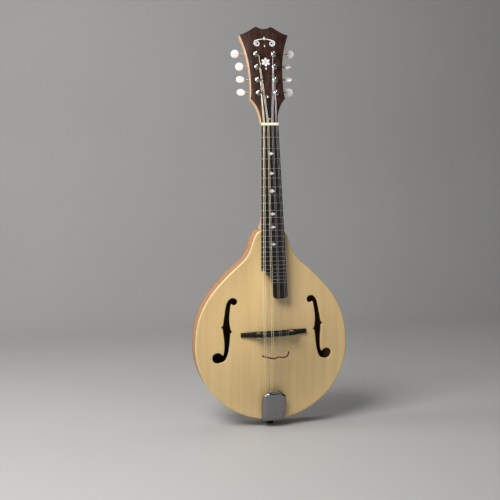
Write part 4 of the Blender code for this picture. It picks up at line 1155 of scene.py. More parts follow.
def cover_grid(inset):
    """Surface points of the cover, from the tail to its scalloped front edge."""
    stations = smooth_path(COVER_STATIONS, 6)
    front = stations[-1][0]
    segments = 40
    rows = []
    for z, half, crown, rim in stations:
        row = []
        for step in range(segments + 1):
            angle = math.pi * step / segments
            flat = math.copysign(abs(math.cos(angle)) ** 0.62, math.cos(angle))
            rise = math.sin(angle) ** 0.6 if 0 < step < segments else 0.0
            x = flat * (half - inset)
            scallop_in = 1.8 * math.exp(-(x / 4.2) ** 2) * smoothstep(front - 12, front, z)
            panel = smoothstep(0.86, 0.74, abs(flat)) * smoothstep(front - 3.0, front - 5.5, z)
            panel *= smoothstep(2.0, 5.0, z)
            lobe = 1.1 * math.exp(-((abs(x) - 15.5) / 3.4) ** 2 - ((z - 42.0) / 4.5) ** 2)
            row.append((x, -rim - rise * (crown - rim - inset) - 0.7 * panel - lobe * rise, z - scallop_in))
        rows.append(row)
    return rows


def tailpiece_cover():
    outer, inner = cover_grid(0.0), cover_grid(COVER_WALL)
    rings = [row + inner_row[::-1] for row, inner_row in zip(outer, inner)]
    cover = loft("tailpiece_cover_visual", rings, TAIL)
    bevel(cover, 0.22, 2, 55)
    shade(cover, 50)
    return cover


def build_end_pin(look):
    """Turned ebony pin with a pearl dot in its end."""
    knots = [(5.0, 0.0), (6.0, 0.35), (6.6, 1.6), (6.4, 3.2), (5.0, 4.7), (4.2, 5.8), (4.05, 7.2),
             (4.7, 8.6), (6.0, 9.5), (6.05, 10.1)]
    profile = smooth_path(knots, 4) + [(3.4, 10.2), (3.3, 20.0), (2.8, 34.0)]
    pin = painted(lathe("end_pin_visual", profile, 48), look["ebony"])
    dot = painted(lathe("dot", [(2.2, 0.3), (2.2, -0.02), (1.9, -0.12)], 32), look["pearl"])
    finish_piece(join("end_pin_visual", [pin, dot]), None, "instrument", "end_pin", slot="ebony")


LACE_BELOW = 38.0
# across the strings and above the lace's height, from the bass end to the curled treble end
LACE_KNOTS = ((-24.0, 3.4), (-19.5, 0.6), (-13.5, -0.8), (-7.0, -2.2), (-1.0, -2.8),
              (5.0, -1.4), (11.0, -1.9), (17.0, -0.6), (21.0, 2.6), (22.6, 8.4))


def build_lace(look):
    """A leather lace woven over and under the pairs of strings, one end curled up."""
    base_z = BRIDGE_Z - LACE_BELOW
    hook_z = (TAIL @ Vector((0, 0, HOOK_ABOVE_TAIL))).z
    share = (base_z - hook_z) / (BRIDGE_Z - hook_z)
    hook_y = (TAIL @ Vector((0, -HOOK_STRING, HOOK_ABOVE_TAIL))).y
    slope = (STRING_Y - hook_y) / (BRIDGE_Z - hook_z)
    pitch = HOOK_PAIR_PITCH + (BRIDGE_PAIR_PITCH - HOOK_PAIR_PITCH) * share
    path = []
    for x, above in smooth_path(LACE_KNOTS, 12):
        weave = math.sin(math.pi * x / pitch)
        weave = math.copysign(min(1.0, 1.9 * abs(weave)), weave)
        fade = smoothstep(25.0, 19.0, abs(x))
        y = hook_y + slope * (base_z + above - hook_z) + 1.65 * weave * fade + camber(x) * 0.6
        path.append(Vector((x, y, base_z + above)))
    lace = painted(strap("string_damper_visual", path, 2.7, 1.1), look["leather"])
    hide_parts("string_damper")
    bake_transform(lace)


def strap(name, path, width, thickness):
    """A soft-edged strip along a path, its flat side to the front."""
    rings = []
    corners = 16
    for index, point in enumerate(path):
        ahead = (path[min(index + 1, len(path) - 1)] - path[max(index - 1, 0)]).normalized()
        out = Vector((0, -1, 0))
        out = (out - ahead * out.dot(ahead)).normalized()
        across = ahead.cross(out)
        end = min(index, len(path) - 1 - index) / 3.0
        grow = min(1.0, 0.55 + 0.45 * end)
        ring = []
        for corner in range(corners):
            angle = 2 * math.pi * corner / corners
            flat = math.copysign(abs(math.cos(angle)) ** 0.5, math.cos(angle))
            deep = math.copysign(abs(math.sin(angle)) ** 0.5, math.sin(angle))
            ring.append(point + across * flat * width / 2 * grow + out * deep * thickness / 2 * grow)
        rings.append(ring)
    return loft(name, rings)


# ---- tuners ---------------------------------------------------------------------------------
PLATE_DEPTH = VENEER + GAP + HEAD_CORE + GAP      # where the tuner plates lie, behind the face
PLATE_SHEET = 1.2
GEAR_TEETH = 14
GEAR_RADIUS = 4.6
GEAR_ROOT = 3.7
GEAR_DEPTH = PLATE_DEPTH + PLATE_SHEET + 0.4
GEAR_THICKNESS = 3.4
WORM_OFFSET = 6.6
WORM_DEPTH = GEAR_DEPTH + GEAR_THICKNESS / 2
WORM_RADIUS = 1.9
LUG_AT = 8.3                                      # middle of a worm's bearing lug, from its post
LUG_THICK = 1.4
BUTTON_RADIUS = 7.3
BUTTON_HALF = 2.3
INTO_HEAD = Matrix.Rotation(-math.pi / 2, 4, "X")   # turns a lathe's +Z into the headstock


def build_tuners(look):
    for side, name in ((-1, "bass"), (1, "treble")):
        build_tuner_plate(side, name, look)
    for name, x, z in post_places():
        place = HEAD @ Matrix.Translation((x, 0, z))
        build_post(name, place, look)
        bushing = lathe("bushing_" + name, smooth_path(((3.25, -0.05), (3.3, 1.15), (3.8, 1.25), (4.6, 0.75),
                                                        (4.95, 0.0)), 3), 40, place @ OUTWARDS)
        finish_piece(bushing, look["nickel"], "instrument")
        build_key(name, x, z, look)


def build_post(name, place, look):
    """String post with a drilled head, and the gear under its other end."""
    knots = [(0.2, 9.3), (1.3, 9.2), (2.5, 8.7), (3.0, 7.9)]
    profile = smooth_path(knots, 3)
    profile += [(3.0, POST_GROOVE + 1.3), (2.75, POST_GROOVE + 0.95), (POST_WAIST, POST_GROOVE + 0.55),
                (POST_WAIST, POST_GROOVE - 2.6), (2.75, POST_GROOVE - 3.2), (3.0, POST_GROOVE - 3.5),
                (3.0, -PLATE_DEPTH - PLATE_SHEET)]
    post = lathe("post", profile, 32, place @ OUTWARDS)
    across = place @ Matrix.Translation((0, -POST_GROOVE - 0.1, 0))
    across = across @ Matrix.Rotation(math.radians(20), 4, "Y")
    boolean(post, [lathe("cutter", [(0.75, -5), (0.75, 5)], 16, across)])
    shade(post, 30)
    painted(post, look["chrome"])
    gear = painted(worm_gear(place), look["brass"])
    screw = screw_head(place @ Matrix.Translation((0, GEAR_DEPTH + GEAR_THICKNESS, 0)) @ INTO_HEAD, 1.9,
                       look["nickel"])
    obj = join("tuner_post_visual_" + name, [post, gear, screw])
    finish_piece(obj, None, "tuner_post_" + name, "tuner_post_" + name, slot="chrome")


def worm_gear(place):
    """A hobbed gear: its teeth are waisted to fit the worm."""
    tooth_shape = ((0.0, GEAR_ROOT), (0.22, GEAR_ROOT), (0.42, GEAR_RADIUS), (0.80, GEAR_RADIUS))
    rings = []
    for depth, shrink in ((0.0, 0.35), (0.35, 0.0), (GEAR_THICKNESS / 2, 0.3), (GEAR_THICKNESS - 0.35, 0.0),
                          (GEAR_THICKNESS, 0.35)):
        ring = []
        for tooth in range(GEAR_TEETH):
            for share, radius in tooth_shape:
                angle = 2 * math.pi * (tooth + share) / GEAR_TEETH
                reach = radius - shrink
                ring.append((reach * math.sin(angle), GEAR_DEPTH + depth, reach * math.cos(angle)))
        rings.append(ring)
    gear = loft("gear", rings, place)
    shade(gear, 25)
    return gear


def build_key(name, x, z, look):
    """Threaded worm, its shaft and ferrule, and the pearloid button, which turn together."""
    side = math.copysign(1, x)
    beside = HEAD @ Matrix.Translation((x, WORM_DEPTH, z + WORM_OFFSET))
    outwards = beside @ Matrix.Rotation(side * math.pi / 2, 4, "Y")
    low, high = box_mm("tuner_button_" + name)
    centre = (low + high) / 2
    reach = (centre - beside.translation).length
    worm = worm_thread(outwards)
    stem_end = reach - BUTTON_RADIUS + 1.6
    profile = [(1.2, -LUG_AT - 1.7), (1.4, -LUG_AT - 1.5), (1.4, LUG_AT + 1.2), (2.2, LUG_AT + 1.3)]
    profile += [(2.35, LUG_AT + 1.7), (2.2, LUG_AT + 2.4), (1.45, LUG_AT + 2.8), (1.45, stem_end - 3.0)]
    profile += [(2.1, stem_end - 2.2), (2.5, stem_end - 0.6), (2.5, stem_end)]
    shaft = lathe("shaft", profile, 28, outwards)
    metal = join("tuner_worm_visual_" + name, [painted(part, look["nickel"]) for part in (worm, shaft)])
    finish_piece(metal, None, "tuner_key_" + name, "tuner_worm_" + name, slot="steel")
    button = pearl_button("tuner_button_visual_" + name, outwards, reach, button_turn(name))
    finish_piece(button, look["pearloid"], "tuner_key_" + name, "tuner_button_" + name, slot="pearloid")


def button_turn(name):
    """How a button stands about its shaft, read from its CAD solid; 0 is flat to the face."""
    node = frame["nodes"]["tuner_button_" + name]
    points = np.array([tuple(node.matrix_world @ v.co) for v in node.data.vertices]) / MM
    points -= points.mean(0)
    flat = np.linalg.svd(points, full_matrices=False)[2][2]
    local = HEAD.to_3x3().inverted() @ Vector(flat)
    return math.atan2(local.z, local.y)


def pearl_button(name, outwards, reach, turn):
    """A round, slightly domed button with a short neck where the shaft enters."""
    rows, columns = 18, 44
    place = HEAD.to_3x3().to_4x4()
    place.translation = outwards @ Vector((0, 0, reach))
    place = place @ Matrix.Rotation(turn, 4, "X")
    rings = []
    for row in range(rows + 1):
        angle = math.pi * (row + 0.35) / (rows + 0.7)
        deep = BUTTON_HALF * math.copysign(abs(math.cos(angle)) ** 0.55, math.cos(angle))
        wide = BUTTON_RADIUS * math.sin(angle) ** 0.42
        ring = []
        for column in range(columns):
            around = 2 * math.pi * column / columns
            ring.append((wide * math.cos(around), deep, wide * math.sin(around)))
        rings.append(ring)
    button = loft(name, rings, place)
    shade(button, 60)
    return button


def worm_thread(place):
    """A single-start thread, one tooth of the gear to a turn."""
    pitch = 2 * math.pi * (GEAR_RADIUS + GEAR_ROOT) / 2 / GEAR_TEETH
    length, per_turn, around = 8.0, 12, 20
    steps = int(length / pitch * per_turn)
    rings = []
    for step in range(steps + 1):
        height = -length / 2 + length * step / steps
        ends = smoothstep(0.0, 0.8, min(step, steps - step) / per_turn)
        ring = []
        for corner in range(around):
            angle = 2 * math.pi * corner / around
            phase = (height / pitch - corner / around) % 1.0
            crest = smoothstep(0.10, 0.35, phase) * smoothstep(0.90, 0.65, phase)
            radius = WORM_RADIUS - 0.55 + (0.55 * crest + 0.1) * ends
            ring.append((radius * math.cos(angle), radius * math.sin(angle), height))
        rings.append(ring)
    worm = loft("worm", rings, place)
    shade(worm, 50)
    return worm


def build_tuner_plate(side, name, look):
    """Plate with shaped ears, a pair of bearing lugs at each worm, and wood screws."""
    middle = side * POST_X
    parts = [tuner_strip(middle)]
    for index in range(4):
        z = FIRST_POST + POST_PITCH * index
        for reach in (-LUG_AT, LUG_AT):
            parts.append(bearing_lug(middle + reach, z + WORM_OFFSET))
    for part in parts:
        painted(part, look["nickel"])
    back = PLATE_DEPTH + PLATE_SHEET
    screws = [FIRST_POST - 6.3] + [FIRST_POST + POST_PITCH * index + 14.4 for index in range(3)]
    for z in screws + [FIRST_POST + 3 * POST_PITCH + 11.6]:
        place = HEAD @ Matrix.Translation((middle, back, z)) @ INTO_HEAD
        parts.append(screw_head(place, 1.6, look["nickel"]))
    plate = join("tuner_plate_visual_" + name, parts)
    finish_piece(plate, None, "instrument", "tuner_plate_" + name, slot="chrome")


def tuner_strip(middle):
    """The flat strip, waisted between its gears and pointed at both ends."""
    low, high = FIRST_POST - 9.0, FIRST_POST + 3 * POST_PITCH + 12.0
    half = []
    steps = 96
    for step in range(steps + 1):
        z = low + (high - low) * step / steps
        wave = 0.5 * (1 - math.cos(2 * math.pi * (z - FIRST_POST + POST_PITCH / 2 - 3.3) / POST_PITCH))
        ends = min(1.0, math.sqrt(max(0.0, min(z - low, high - z)) / 5.0))
        half.append((middle + (6.6 + 2.4 * wave) * ends, z))
    outline = half + [(2 * middle - x, z) for x, z in reversed(half[1:-1])]
    strip = prism("strip", outline, PLATE_DEPTH, PLATE_DEPTH + PLATE_SHEET, HEAD)
    bevel(strip, 0.25, 2, 50)
    return strip


def bearing_lug(x, z):
    """A round-topped tab that carries one end of a worm."""
    outline = [(z - 3.4, PLATE_DEPTH + 0.3), (z + 3.4, PLATE_DEPTH + 0.3)]
    for step in range(13):
        angle = math.pi * step / 12
        outline.append((z + 2.9 * math.cos(angle), WORM_DEPTH + 0.4 + 2.6 * math.sin(angle)))
    rings = [[(face, y, along) for along, y in outline] for face in (x - LUG_THICK / 2, x + LUG_THICK / 2)]
    lug = loft("lug", rings, HEAD)
    hole = lathe("cutter", [(1.55, -4), (1.55, 4)], 20,
                 HEAD @ Matrix.Translation((x, WORM_DEPTH, z)) @ Matrix.Rotation(math.pi / 2, 4, "Y"))
    boolean(lug, [hole])
    bevel(lug, 0.18, 2, 50)
    return lug


# ---- materials ------------------------------------------------------------------------------
class Look:
    """One procedural material, put together node by node."""

    def __init__(self, name, **inputs):
        self.material = bpy.data.materials.new(name)
        self.material.use_nodes = True
        self.tree = self.material.node_tree
        self.shader = self.tree.nodes["Principled BSDF"]
        for key, value in inputs.items():
            self.feed(self.shader.inputs[key.replace("_", " ").title().replace("Ior", "IOR")], value)

    def feed(self, socket, value):
        if isinstance(value, bpy.types.NodeSocket):
            self.tree.links.new(value, socket)
        elif socket.type == "RGBA" and len(value) == 3:
            socket.default_value = (*value, 1.0)
        else:
            socket.default_value = value

    def node(self, kind, inputs, output=0, **settings):
        node = self.tree.nodes.new("ShaderNode" + kind)
        for key, value in settings.items():
            setattr(node, key, value)
        for key, value in inputs.items():
            self.feed(node.inputs[key], value)
        return node.outputs[output]

    def coords(self):
        return self.node("TexCoord", {}, "Object")

    def scaled(self, vector, factors):
        return self.node("VectorMath", {0: vector, 1: factors}, operation="MULTIPLY")

    def math(self, operation, a, b=0.0, clamp=False):
        return self.node("Math", {0: a, 1: b}, operation=operation, use_clamp=clamp)

    def noise(self, vector, scale, detail=3.0, roughness=0.5, distortion=0.0):
        inputs = {"Vector": vector, "Scale": scale, "Detail": detail, "Roughness": roughness,
                  "Distortion": distortion}
        return self.node("TexNoise", inputs, "Fac")

    def ramp(self, value, *stops):
        """Colours (or greys) at positions along a value."""
        node = self.tree.nodes.new("ShaderNodeValToRGB")
        ramp = node.color_ramp
        while len(ramp.elements) < len(stops):
            ramp.elements.new(0.5)
        for element, (position, color) in zip(ramp.elements, stops):
            element.position = position
            element.color = (*color, 1.0) if isinstance(color, tuple) else (color, color, color, 1.0)
        self.feed(node.inputs["Fac"], value)
        return node.outputs["Color"]

    def mix(self, factor, a, b, blend="MIX"):
        node = self.tree.nodes.new("ShaderNodeMix")
        node.data_type = "RGBA"
        node.blend_type = blend
        factor_in, a_in, b_in = (next(s for s in node.inputs if s.identifier == key)
                                 for key in ("Factor_Float", "A_Color", "B_Color"))
        for socket, value in ((factor_in, factor), (a_in, a), (b_in, b)):
            self.feed(socket, value)
        return next(s for s in node.outputs if s.identifier == "Result_Color")

    def bump(self, height, strength, distance):
        return self.node("Bump", {"Height": height, "Strength": strength, "Distance": distance})

    def finish(self, color=None, roughness=None, normal=None):
        for key, value in (("Base Color", color), ("Roughness", roughness), ("Normal", normal)):
            if value is not None:
                self.feed(self.shader.inputs[key], value)
        if normal is not None and self.shader.inputs["Coat Weight"].default_value > 0:
            self.feed(self.shader.inputs["Coat Normal"], normal)
        return self.material


def split(look, vector):
    """The three parts of a vector."""
    node = look.tree.nodes.new("ShaderNodeSeparateXYZ")
    look.feed(node.inputs[0], vector)
    return node.outputs


def spruce(name, light, dark, coat):
    """Straight-grained softwood, its two halves mirrored on the centre line."""
    look = Look(name, roughness=0.42, coat_weight=coat, coat_roughness=0.24)
    place = look.coords()
    x, _, _ = split(look, place)
    across = look.math("ABSOLUTE", x)
    wobble = look.noise(look.scaled(place, (28.0, 28.0, 3.0)), 1.0)
    count = look.math("MULTIPLY", look.math("POWER", across, 0.85), 430.0)
    ring = look.math("FRACT", look.math("ADD", count, look.math("MULTIPLY", wobble, 2.4)))
    line = look.ramp(ring, (0.0, 0.05), (0.45, 0.0), (0.84, 1.0), (0.92, 0.85), (1.0, 0.05))
    band = look.noise(look.scaled(place, (95.0, 40.0, 2.0)), 1.0, 4.0, 0.6)
    silk = look.noise(look.scaled(place, (260.0, 260.0, 1500.0)), 1.0, 2.0)
    fibre = look.noise(look.scaled(place, (2600.0, 2600.0, 70.0)), 1.0, 2.0)
    middle = tuple((a * 2 + b) / 3 for a, b in zip(light, dark))
    color = look.mix(look.ramp(band, (0.32, 0.0), (0.72, 1.0)), light, middle)
    color = look.mix(look.math("MULTIPLY", line, 0.5), color, dark)
    color = look.mix(look.math("MULTIPLY", look.ramp(silk, (0.52, 0.0), (0.75, 1.0)), 0.12), color, light)
    color = look.mix(look.math("MULTIPLY", look.ramp(fibre, (0.5, 0.0), (0.8, 1.0)), 0.14), color, dark)
    height = look.math("ADD", look.math("MULTIPLY", line, 0.5), look.math("MULTIPLY", fibre, 0.5))
    rough = look.ramp(fibre, (0.3, 0.36), (0.8, 0.52))
    return look.finish(color, rough, look.bump(height, 0.10, 0.0003))


def hardwood(name, light, dark, flame, pores, coat, along="z", rough=0.4):
    """Maple or mahogany: fine flecks along the grain and soft bands of figure across it."""
    look = Look(name, roughness=rough, coat_weight=coat, coat_roughness=0.25)
    if along == "travel":
        travel = look.node("Attribute", {}, "Fac", attribute_name="travel")
        _, y, _ = split(look, look.coords())
        node = look.tree.nodes.new("ShaderNodeCombineXYZ")
        look.feed(node.inputs[0], y)
        look.feed(node.inputs[2], travel)
        place = node.outputs[0]
    else:
        x, y, z = split(look, look.coords())
        across = look.math("ABSOLUTE", x)
        node = look.tree.nodes.new("ShaderNodeCombineXYZ")
        look.feed(node.inputs[0], across)
        look.feed(node.inputs[1], y)
        look.feed(node.inputs[2], look.math("ADD", z, look.math("MULTIPLY", across, 0.22)))
        place = node.outputs[0]
    curl = look.noise(look.scaled(place, (9.0, 9.0, 150.0)), 1.0, 2.0, 0.5, 0.6)
    broad = look.noise(look.scaled(place, (70.0, 70.0, 3.0)), 1.0, 4.0, 0.6)
    fleck = look.noise(look.scaled(place, (1500.0, 1500.0, 55.0)), 1.0, 2.0)
    middle = tuple((a + b) / 2 for a, b in zip(light, dark))
    color = look.mix(look.ramp(broad, (0.3, 0.0), (0.75, 1.0)), light, middle)
    color = look.mix(look.math("MULTIPLY", look.ramp(curl, (0.42, 0.0), (0.62, 1.0)), flame), color, dark)
    color = look.mix(look.math("MULTIPLY", look.ramp(fleck, (0.58, 0.0), (0.72, 1.0)), pores), color, dark)
    height = look.math("SUBTRACT", 1.0, look.ramp(fleck, (0.55, 0.0), (0.75, 1.0)))
    return look.finish(color, look.ramp(curl, (0.3, rough - 0.06), (0.7, rough + 0.08)),
                       look.bump(height, 0.16 * pores, 0.0004))


def dark_wood(name, deep, warm, spread_of_warm, gloss):
    """Rosewood or ebony: dark streaks along the neck with open pores."""
    look = Look(name, roughness=gloss, specular_ior_level=0.25, coat_weight=0.06, coat_roughness=0.3)
    place = look.coords()
    streak = look.noise(look.scaled(place, (170.0, 170.0, 6.0)), 1.0, 5.0, 0.65, 0.4)
    thread = look.noise(look.scaled(place, (700.0, 700.0, 12.0)), 1.0, 3.0, 0.6)
    pore = look.noise(look.scaled(place, (2600.0, 2600.0, 120.0)), 1.0, 2.0)
    color = look.mix(look.ramp(streak, (0.36, 0.0), (0.36 + spread_of_warm, 1.0)), deep, warm)
    color = look.mix(look.math("MULTIPLY", look.ramp(thread, (0.45, 0.0), (0.7, 1.0)), 0.55), color, deep)
    open_pore = look.ramp(pore, (0.60, 0.0), (0.70, 1.0))
    color = look.mix(open_pore, color, tuple(c * 0.35 for c in deep))
    height = look.math("SUBTRACT", 1.0, open_pore)
    return look.finish(color, look.ramp(thread, (0.3, gloss - 0.08), (0.7, gloss + 0.12)),
                       look.bump(height, 0.2, 0.0003))


def polished_metal(name, color, low, high, brushed=False):
    """Plated or bare metal whose gloss varies with handling marks."""
    look = Look(name, metallic=1.0)
    place = look.coords()
    smudge = look.noise(place, 140.0, 4.0, 0.6, 0.5)
    scale = (200.0, 5000.0, 5000.0) if brushed else (2200.0, 2200.0, 2200.0)
    fine = look.noise(look.scaled(place, scale), 1.0, 2.0)
    tint = look.mix(look.ramp(smudge, (0.35, 0.0), (0.75, 1.0)), color, tuple(c * 0.86 for c in color))
    return look.finish(tint, look.ramp(smudge, (0.3, low), (0.7, high)), look.bump(fine, 0.035, 0.0001))


def wound_wire(name):
    """Bronze wrap, a fine ridge at every turn along the string, with painted shade in the grooves between
    turns.
    """
    look = Look(name, metallic=1.0, roughness=0.32)
    place = look.coords()
    _, _, z = split(look, place)
    turn = look.math("FRACT", look.math("MULTIPLY", z, 3200.0))
    ridge = look.ramp(turn, (0.0, 0.0), (0.5, 1.0), (1.0, 0.0))
    smudge = look.noise(place, 90.0, 3.0)
    color = look.mix(look.ramp(smudge, (0.35, 0.0), (0.7, 1.0)), (0.97, 0.92, 0.76), (0.88, 0.80, 0.60))
    # The groove between turns is painted darker: painted shade in the recess between the wraps.
    color = look.mix(look.math("MULTIPLY", look.math("SUBTRACT", 1.0, ridge), 0.3), color, (0.45, 0.36, 0.22))
    return look.finish(color, look.ramp(smudge, (0.3, 0.42), (0.7, 0.55)), look.bump(ridge, 0.6, 0.00012))


def mother_of_pearl(name):
    look = Look(name, roughness=0.18, coat_weight=0.8, coat_roughness=0.06)
    place = look.coords()
    layer = look.noise(look.scaled(place, (340.0, 340.0, 190.0)), 1.0, 3.0, 0.5, 2.2)
    color = look.ramp(layer, (0.28, (0.62, 0.66, 0.68)), (0.45, (0.90, 0.90, 0.88)),
                      (0.58, (0.80, 0.78, 0.86)), (0.72, (0.74, 0.86, 0.82)))
    film = look.math("ADD", look.math("MULTIPLY", layer, 420.0), 230.0)
    look.feed(look.shader.inputs["Thin Film Thickness"], film)
    look.feed(look.shader.inputs["Thin Film IOR"], 1.5)
    return look.finish(color, look.ramp(layer, (0.3, 0.12), (0.7, 0.26)), look.bump(layer, 0.03, 0.0002))


def pearloid(name):
    """White celluloid with soft swirls of grey."""
    look = Look(name, roughness=0.22, subsurface_weight=0.12, subsurface_scale=0.002, coat_weight=0.6,
                coat_roughness=0.08)
    place = look.coords()
    swirl = look.noise(place, 240.0, 3.0, 0.5, 3.0)
    cell = look.node("TexVoronoi", {"Vector": place, "Scale": 420.0}, "Distance", feature="SMOOTH_F1")
    color = look.ramp(swirl, (0.3, (0.66, 0.68, 0.71)), (0.5, (0.82, 0.83, 0.83)), (0.65, (0.88, 0.88, 0.87)))
    color = look.mix(look.math("MULTIPLY", cell, 0.3), color, (0.90, 0.90, 0.90))
    return look.finish(color, look.ramp(swirl, (0.3, 0.16), (0.7, 0.28)), look.bump(swirl, 0.02, 0.0003))


def bone(name):
    look = Look(name, roughness=0.35, subsurface_weight=0.15, subsurface_scale=0.002)
    place = look.coords()
    cloud = look.noise(look.scaled(place, (130.0, 300.0, 300.0)), 1.0, 4.0)
    pit = look.noise(look.scaled(place, (900.0, 2600.0, 2600.0)), 1.0, 2.0)
    color = look.mix(cloud, (0.86, 0.78, 0.58), (0.92, 0.86, 0.70))
    pitted = look.math("MULTIPLY", look.ramp(pit, (0.6, 0.0), (0.75, 1.0)), 0.3)
    color = look.mix(pitted, color, (0.55, 0.42, 0.25))
    return look.finish(color, look.ramp(cloud, (0.3, 0.28), (0.7, 0.42)), look.bump(pit, 0.06, 0.0002))


def leather(name):
    look = Look(name, roughness=0.68)
    place = look.coords()
    cell = look.node("TexVoronoi", {"Vector": place, "Scale": 1500.0}, "Distance")
    worn = look.noise(place, 160.0, 4.0, 0.6)
    color = look.mix(look.ramp(worn, (0.35, 0.0), (0.7, 1.0)), (0.075, 0.022, 0.014), (0.15, 0.05, 0.03))
    color = look.mix(look.math("MULTIPLY", cell, 0.4), color, (0.04, 0.012, 0.009))
    return look.finish(color, look.ramp(worn, (0.3, 0.6), (0.7, 0.8)), look.bump(cell, 0.5, 0.0002))


def gloss_black(name):
    look = Look(name, roughness=0.16, coat_weight=1.0, coat_roughness=0.05)
    place = look.coords()
    haze = look.noise(place, 210.0, 3.0)
    scratch = look.noise(look.scaled(place, (4000.0, 4000.0, 120.0)), 1.0, 2.0)
    color = look.mix(haze, (0.006, 0.006, 0.007), (0.016, 0.015, 0.015))
    return look.finish(color, look.ramp(haze, (0.3, 0.12), (0.7, 0.26)), look.bump(scratch, 0.03, 0.0001))


def floor_paint(name):
    look = Look(name, roughness=0.6)
    place = look.coords()
    cloud = look.noise(place, 2.2, 4.0, 0.6)
    grit = look.noise(place, 900.0, 2.0)
    color = look.mix(cloud, (0.42, 0.42, 0.42), (0.47, 0.47, 0.465))
    return look.finish(color, look.ramp(grit, (0.3, 0.5), (0.7, 0.68)), look.bump(grit, 0.04, 0.0002))


def make_looks():
    salmon_light, salmon_dark = (0.46, 0.245, 0.110), (0.32, 0.145, 0.058)
    return {
        "spruce": spruce("spruce_top", (0.77, 0.57, 0.28), (0.50, 0.31, 0.105), 0.5),
        "raw_spruce": spruce("raw_spruce", (0.74, 0.60, 0.38), (0.52, 0.37, 0.20), 0.0),
        "maple_back": hardwood("maple_back", salmon_light, salmon_dark, 0.55, 0.25, 0.3),
        "maple_side": hardwood("maple_side", salmon_light, salmon_dark, 0.45, 0.25, 0.3, "travel"),
        "mahogany": hardwood("neck_wood", (0.74, 0.46, 0.26), (0.52, 0.27, 0.13), 0.15, 0.55, 0.3),
        # Wood inside the body, painted far darker than raw maple: painted shade for the unlit inside of the
        # body.
        "inner_wood_painted_shade": hardwood("inner_wood_painted_shade", (0.16, 0.095, 0.050), (0.09, 0.048, 0.024), 0.1, 0.5, 0.0,
                               rough=0.8),
        "rosewood": dark_wood("rosewood_overlay", (0.010, 0.004, 0.003), (0.072, 0.026, 0.015), 0.34, 0.42),
        "ebony": dark_wood("ebony", (0.004, 0.0035, 0.0035), (0.014, 0.010, 0.008), 0.45, 0.40),
        "ebony_board": dark_wood("ebony_board", (0.008, 0.006, 0.0055), (0.036, 0.021, 0.015), 0.40, 0.42),
        "bone": bone("bone_nut"),
        "pearl": mother_of_pearl("mother_of_pearl"),
        "pearloid": pearloid("pearloid"),
        # Chrome with its base colour darkened well below real plating: painted dark reflection of dark
        # surroundings, on the tailpiece and tuner posts.
        "chrome": polished_metal("chrome_painted_dark_reflection", (0.28, 0.285, 0.295), 0.03, 0.09),
        "nickel": polished_metal("nickel_silver", (0.80, 0.77, 0.72), 0.12, 0.26),
        "brass": polished_metal("brass", (0.80, 0.60, 0.30), 0.18, 0.34, brushed=True),
        "steel": polished_metal("steel", (0.60, 0.60, 0.61), 0.22, 0.38, brushed=True),
        "plain_steel": polished_metal("plain_wire", (0.56, 0.56, 0.57), 0.36, 0.46),
        "fret_wire": polished_metal("fret_wire", (0.42, 0.41, 0.39), 0.28, 0.40),
        "bronze_wound": wound_wire("bronze_wound"),
        "leather": leather("leather_lace"),
        "black_plastic": gloss_black("black_plastic"),
    }


# ---- studio ---------------------------------------------------------------------------------
def build_floor():
    """A pale floor that curves up into a backdrop."""
    front, bend, radius, height, half, low = -2200.0, 900.0, 600.0, 2600.0, 2600.0, -0.5
    profile = [(front, low), (bend, low)]
    for step in range(1, 17):
        angle = math.pi / 2 * step / 16
        profile.append((bend + radius * math.sin(angle), low + radius * (1 - math.cos(angle))))
    profile.append((bend + radius, height))
    points = [(x, y, z) for x in (-half, half) for y, z in profile]
    count = len(profile)
    faces = [(i, i + 1, count + i + 1, count + i) for i in range(count - 1)]
    floor = new_object("floor", points, faces)
    painted(floor, floor_paint("floor_paint"))


def area_light(name, place, target, size, power, color=(1.0, 1.0, 1.0)):
    data = bpy.data.lights.new(name, "AREA")
    data.shape = "RECTANGLE"
    data.size, data.size_y = size
    data.energy = power
    data.color = color
    light = bpy.data.objects.new(name, data)
    bpy.context.scene.collection.objects.link(light)
    light.location = place
    light.rotation_euler = (Vector(target) - Vector(place)).to_track_quat("-Z", "Y").to_euler()


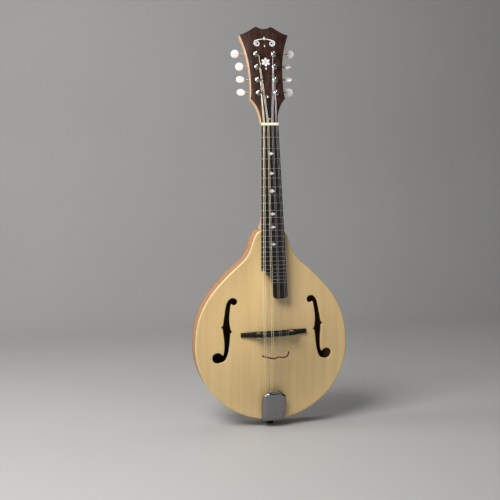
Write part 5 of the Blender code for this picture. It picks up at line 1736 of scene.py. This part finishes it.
def build_lights():
    middle = (0.0, 0.0, 0.32)
    area_light("key", (-0.75, -0.72, 1.28), (0.0, 0.0, 0.45), (0.8, 0.8), 27.5, (1.0, 0.98, 0.95))
    area_light("fill", (1.3, -1.8, 0.7), middle, (0.5, 0.9), 3.0, (0.93, 0.96, 1.0))
    area_light("top", (0.1, 0.3, 2.1), middle, (1.4, 0.7), 5.0)
    area_light("left_edge", (-1.6, 0.2, 0.7), middle, (0.4, 1.4), 10.0)
    world = bpy.data.worlds.new("studio")
    world.use_nodes = True
    tree = world.node_tree
    sky = tree.nodes["Background"]
    sky.inputs["Color"].default_value = (0.40, 0.405, 0.415, 1.0)
    sky.inputs["Strength"].default_value = 0.16
    # the camera sees a plain pale grey beyond the floor, whatever light the surroundings give
    seen = tree.nodes.new("ShaderNodeBackground")
    seen.inputs["Color"].default_value = (0.36, 0.36, 0.36, 1.0)
    path = tree.nodes.new("ShaderNodeLightPath")
    choose = tree.nodes.new("ShaderNodeMixShader")
    tree.links.new(path.outputs["Is Camera Ray"], choose.inputs[0])
    tree.links.new(sky.outputs[0], choose.inputs[1])
    tree.links.new(seen.outputs[0], choose.inputs[2])
    tree.links.new(choose.outputs[0], tree.nodes["World Output"].inputs["Surface"])
    bpy.context.scene.world = world
    bpy.context.scene.view_settings.view_transform = "Standard"


def build_camera():
    """Nearly level, a little to the bass side, with a slight roll."""
    azimuth, elevation, roll = math.radians(-11.63), math.radians(5.44), math.radians(-0.58)
    distance, aim = 1582.0, Vector((-37.1, -22.0, 307.0))
    back = Vector((math.sin(azimuth) * math.cos(elevation), -math.cos(azimuth) * math.cos(elevation),
                   math.sin(elevation)))
    right = Vector((math.cos(azimuth), math.sin(azimuth), 0))
    up = back.cross(right)
    turned_right = math.cos(roll) * right + math.sin(roll) * up
    turned_up = back.cross(turned_right)
    data = bpy.data.cameras.new("camera")
    data.sensor_width = 36.0
    data.lens = 67.3
    data.clip_start = 0.01
    camera = bpy.data.objects.new("camera", data)
    bpy.context.scene.collection.objects.link(camera)
    matrix = Matrix((turned_right, turned_up, back)).transposed().to_4x4()
    matrix.translation = (aim + back * distance) * MM
    camera.matrix_world = matrix
    bpy.context.scene.camera = camera


# ---- all of it ------------------------------------------------------------------------------
def build_all():
    look = make_looks()
    build_body(look)
    build_neck(look)
    build_veneer(look)
    build_head_inlays(look)
    build_fingerboard(look)
    build_board_inlays(look)
    build_nut(look)
    build_truss_rod(look)
    build_bridge(look)
    for order in range(8):
        build_string(order, look)
    build_tailpiece(look)
    build_end_pin(look)
    build_lace(look)
    build_tuners(look)
    build_floor()
    build_lights()
    build_camera()


build_all()
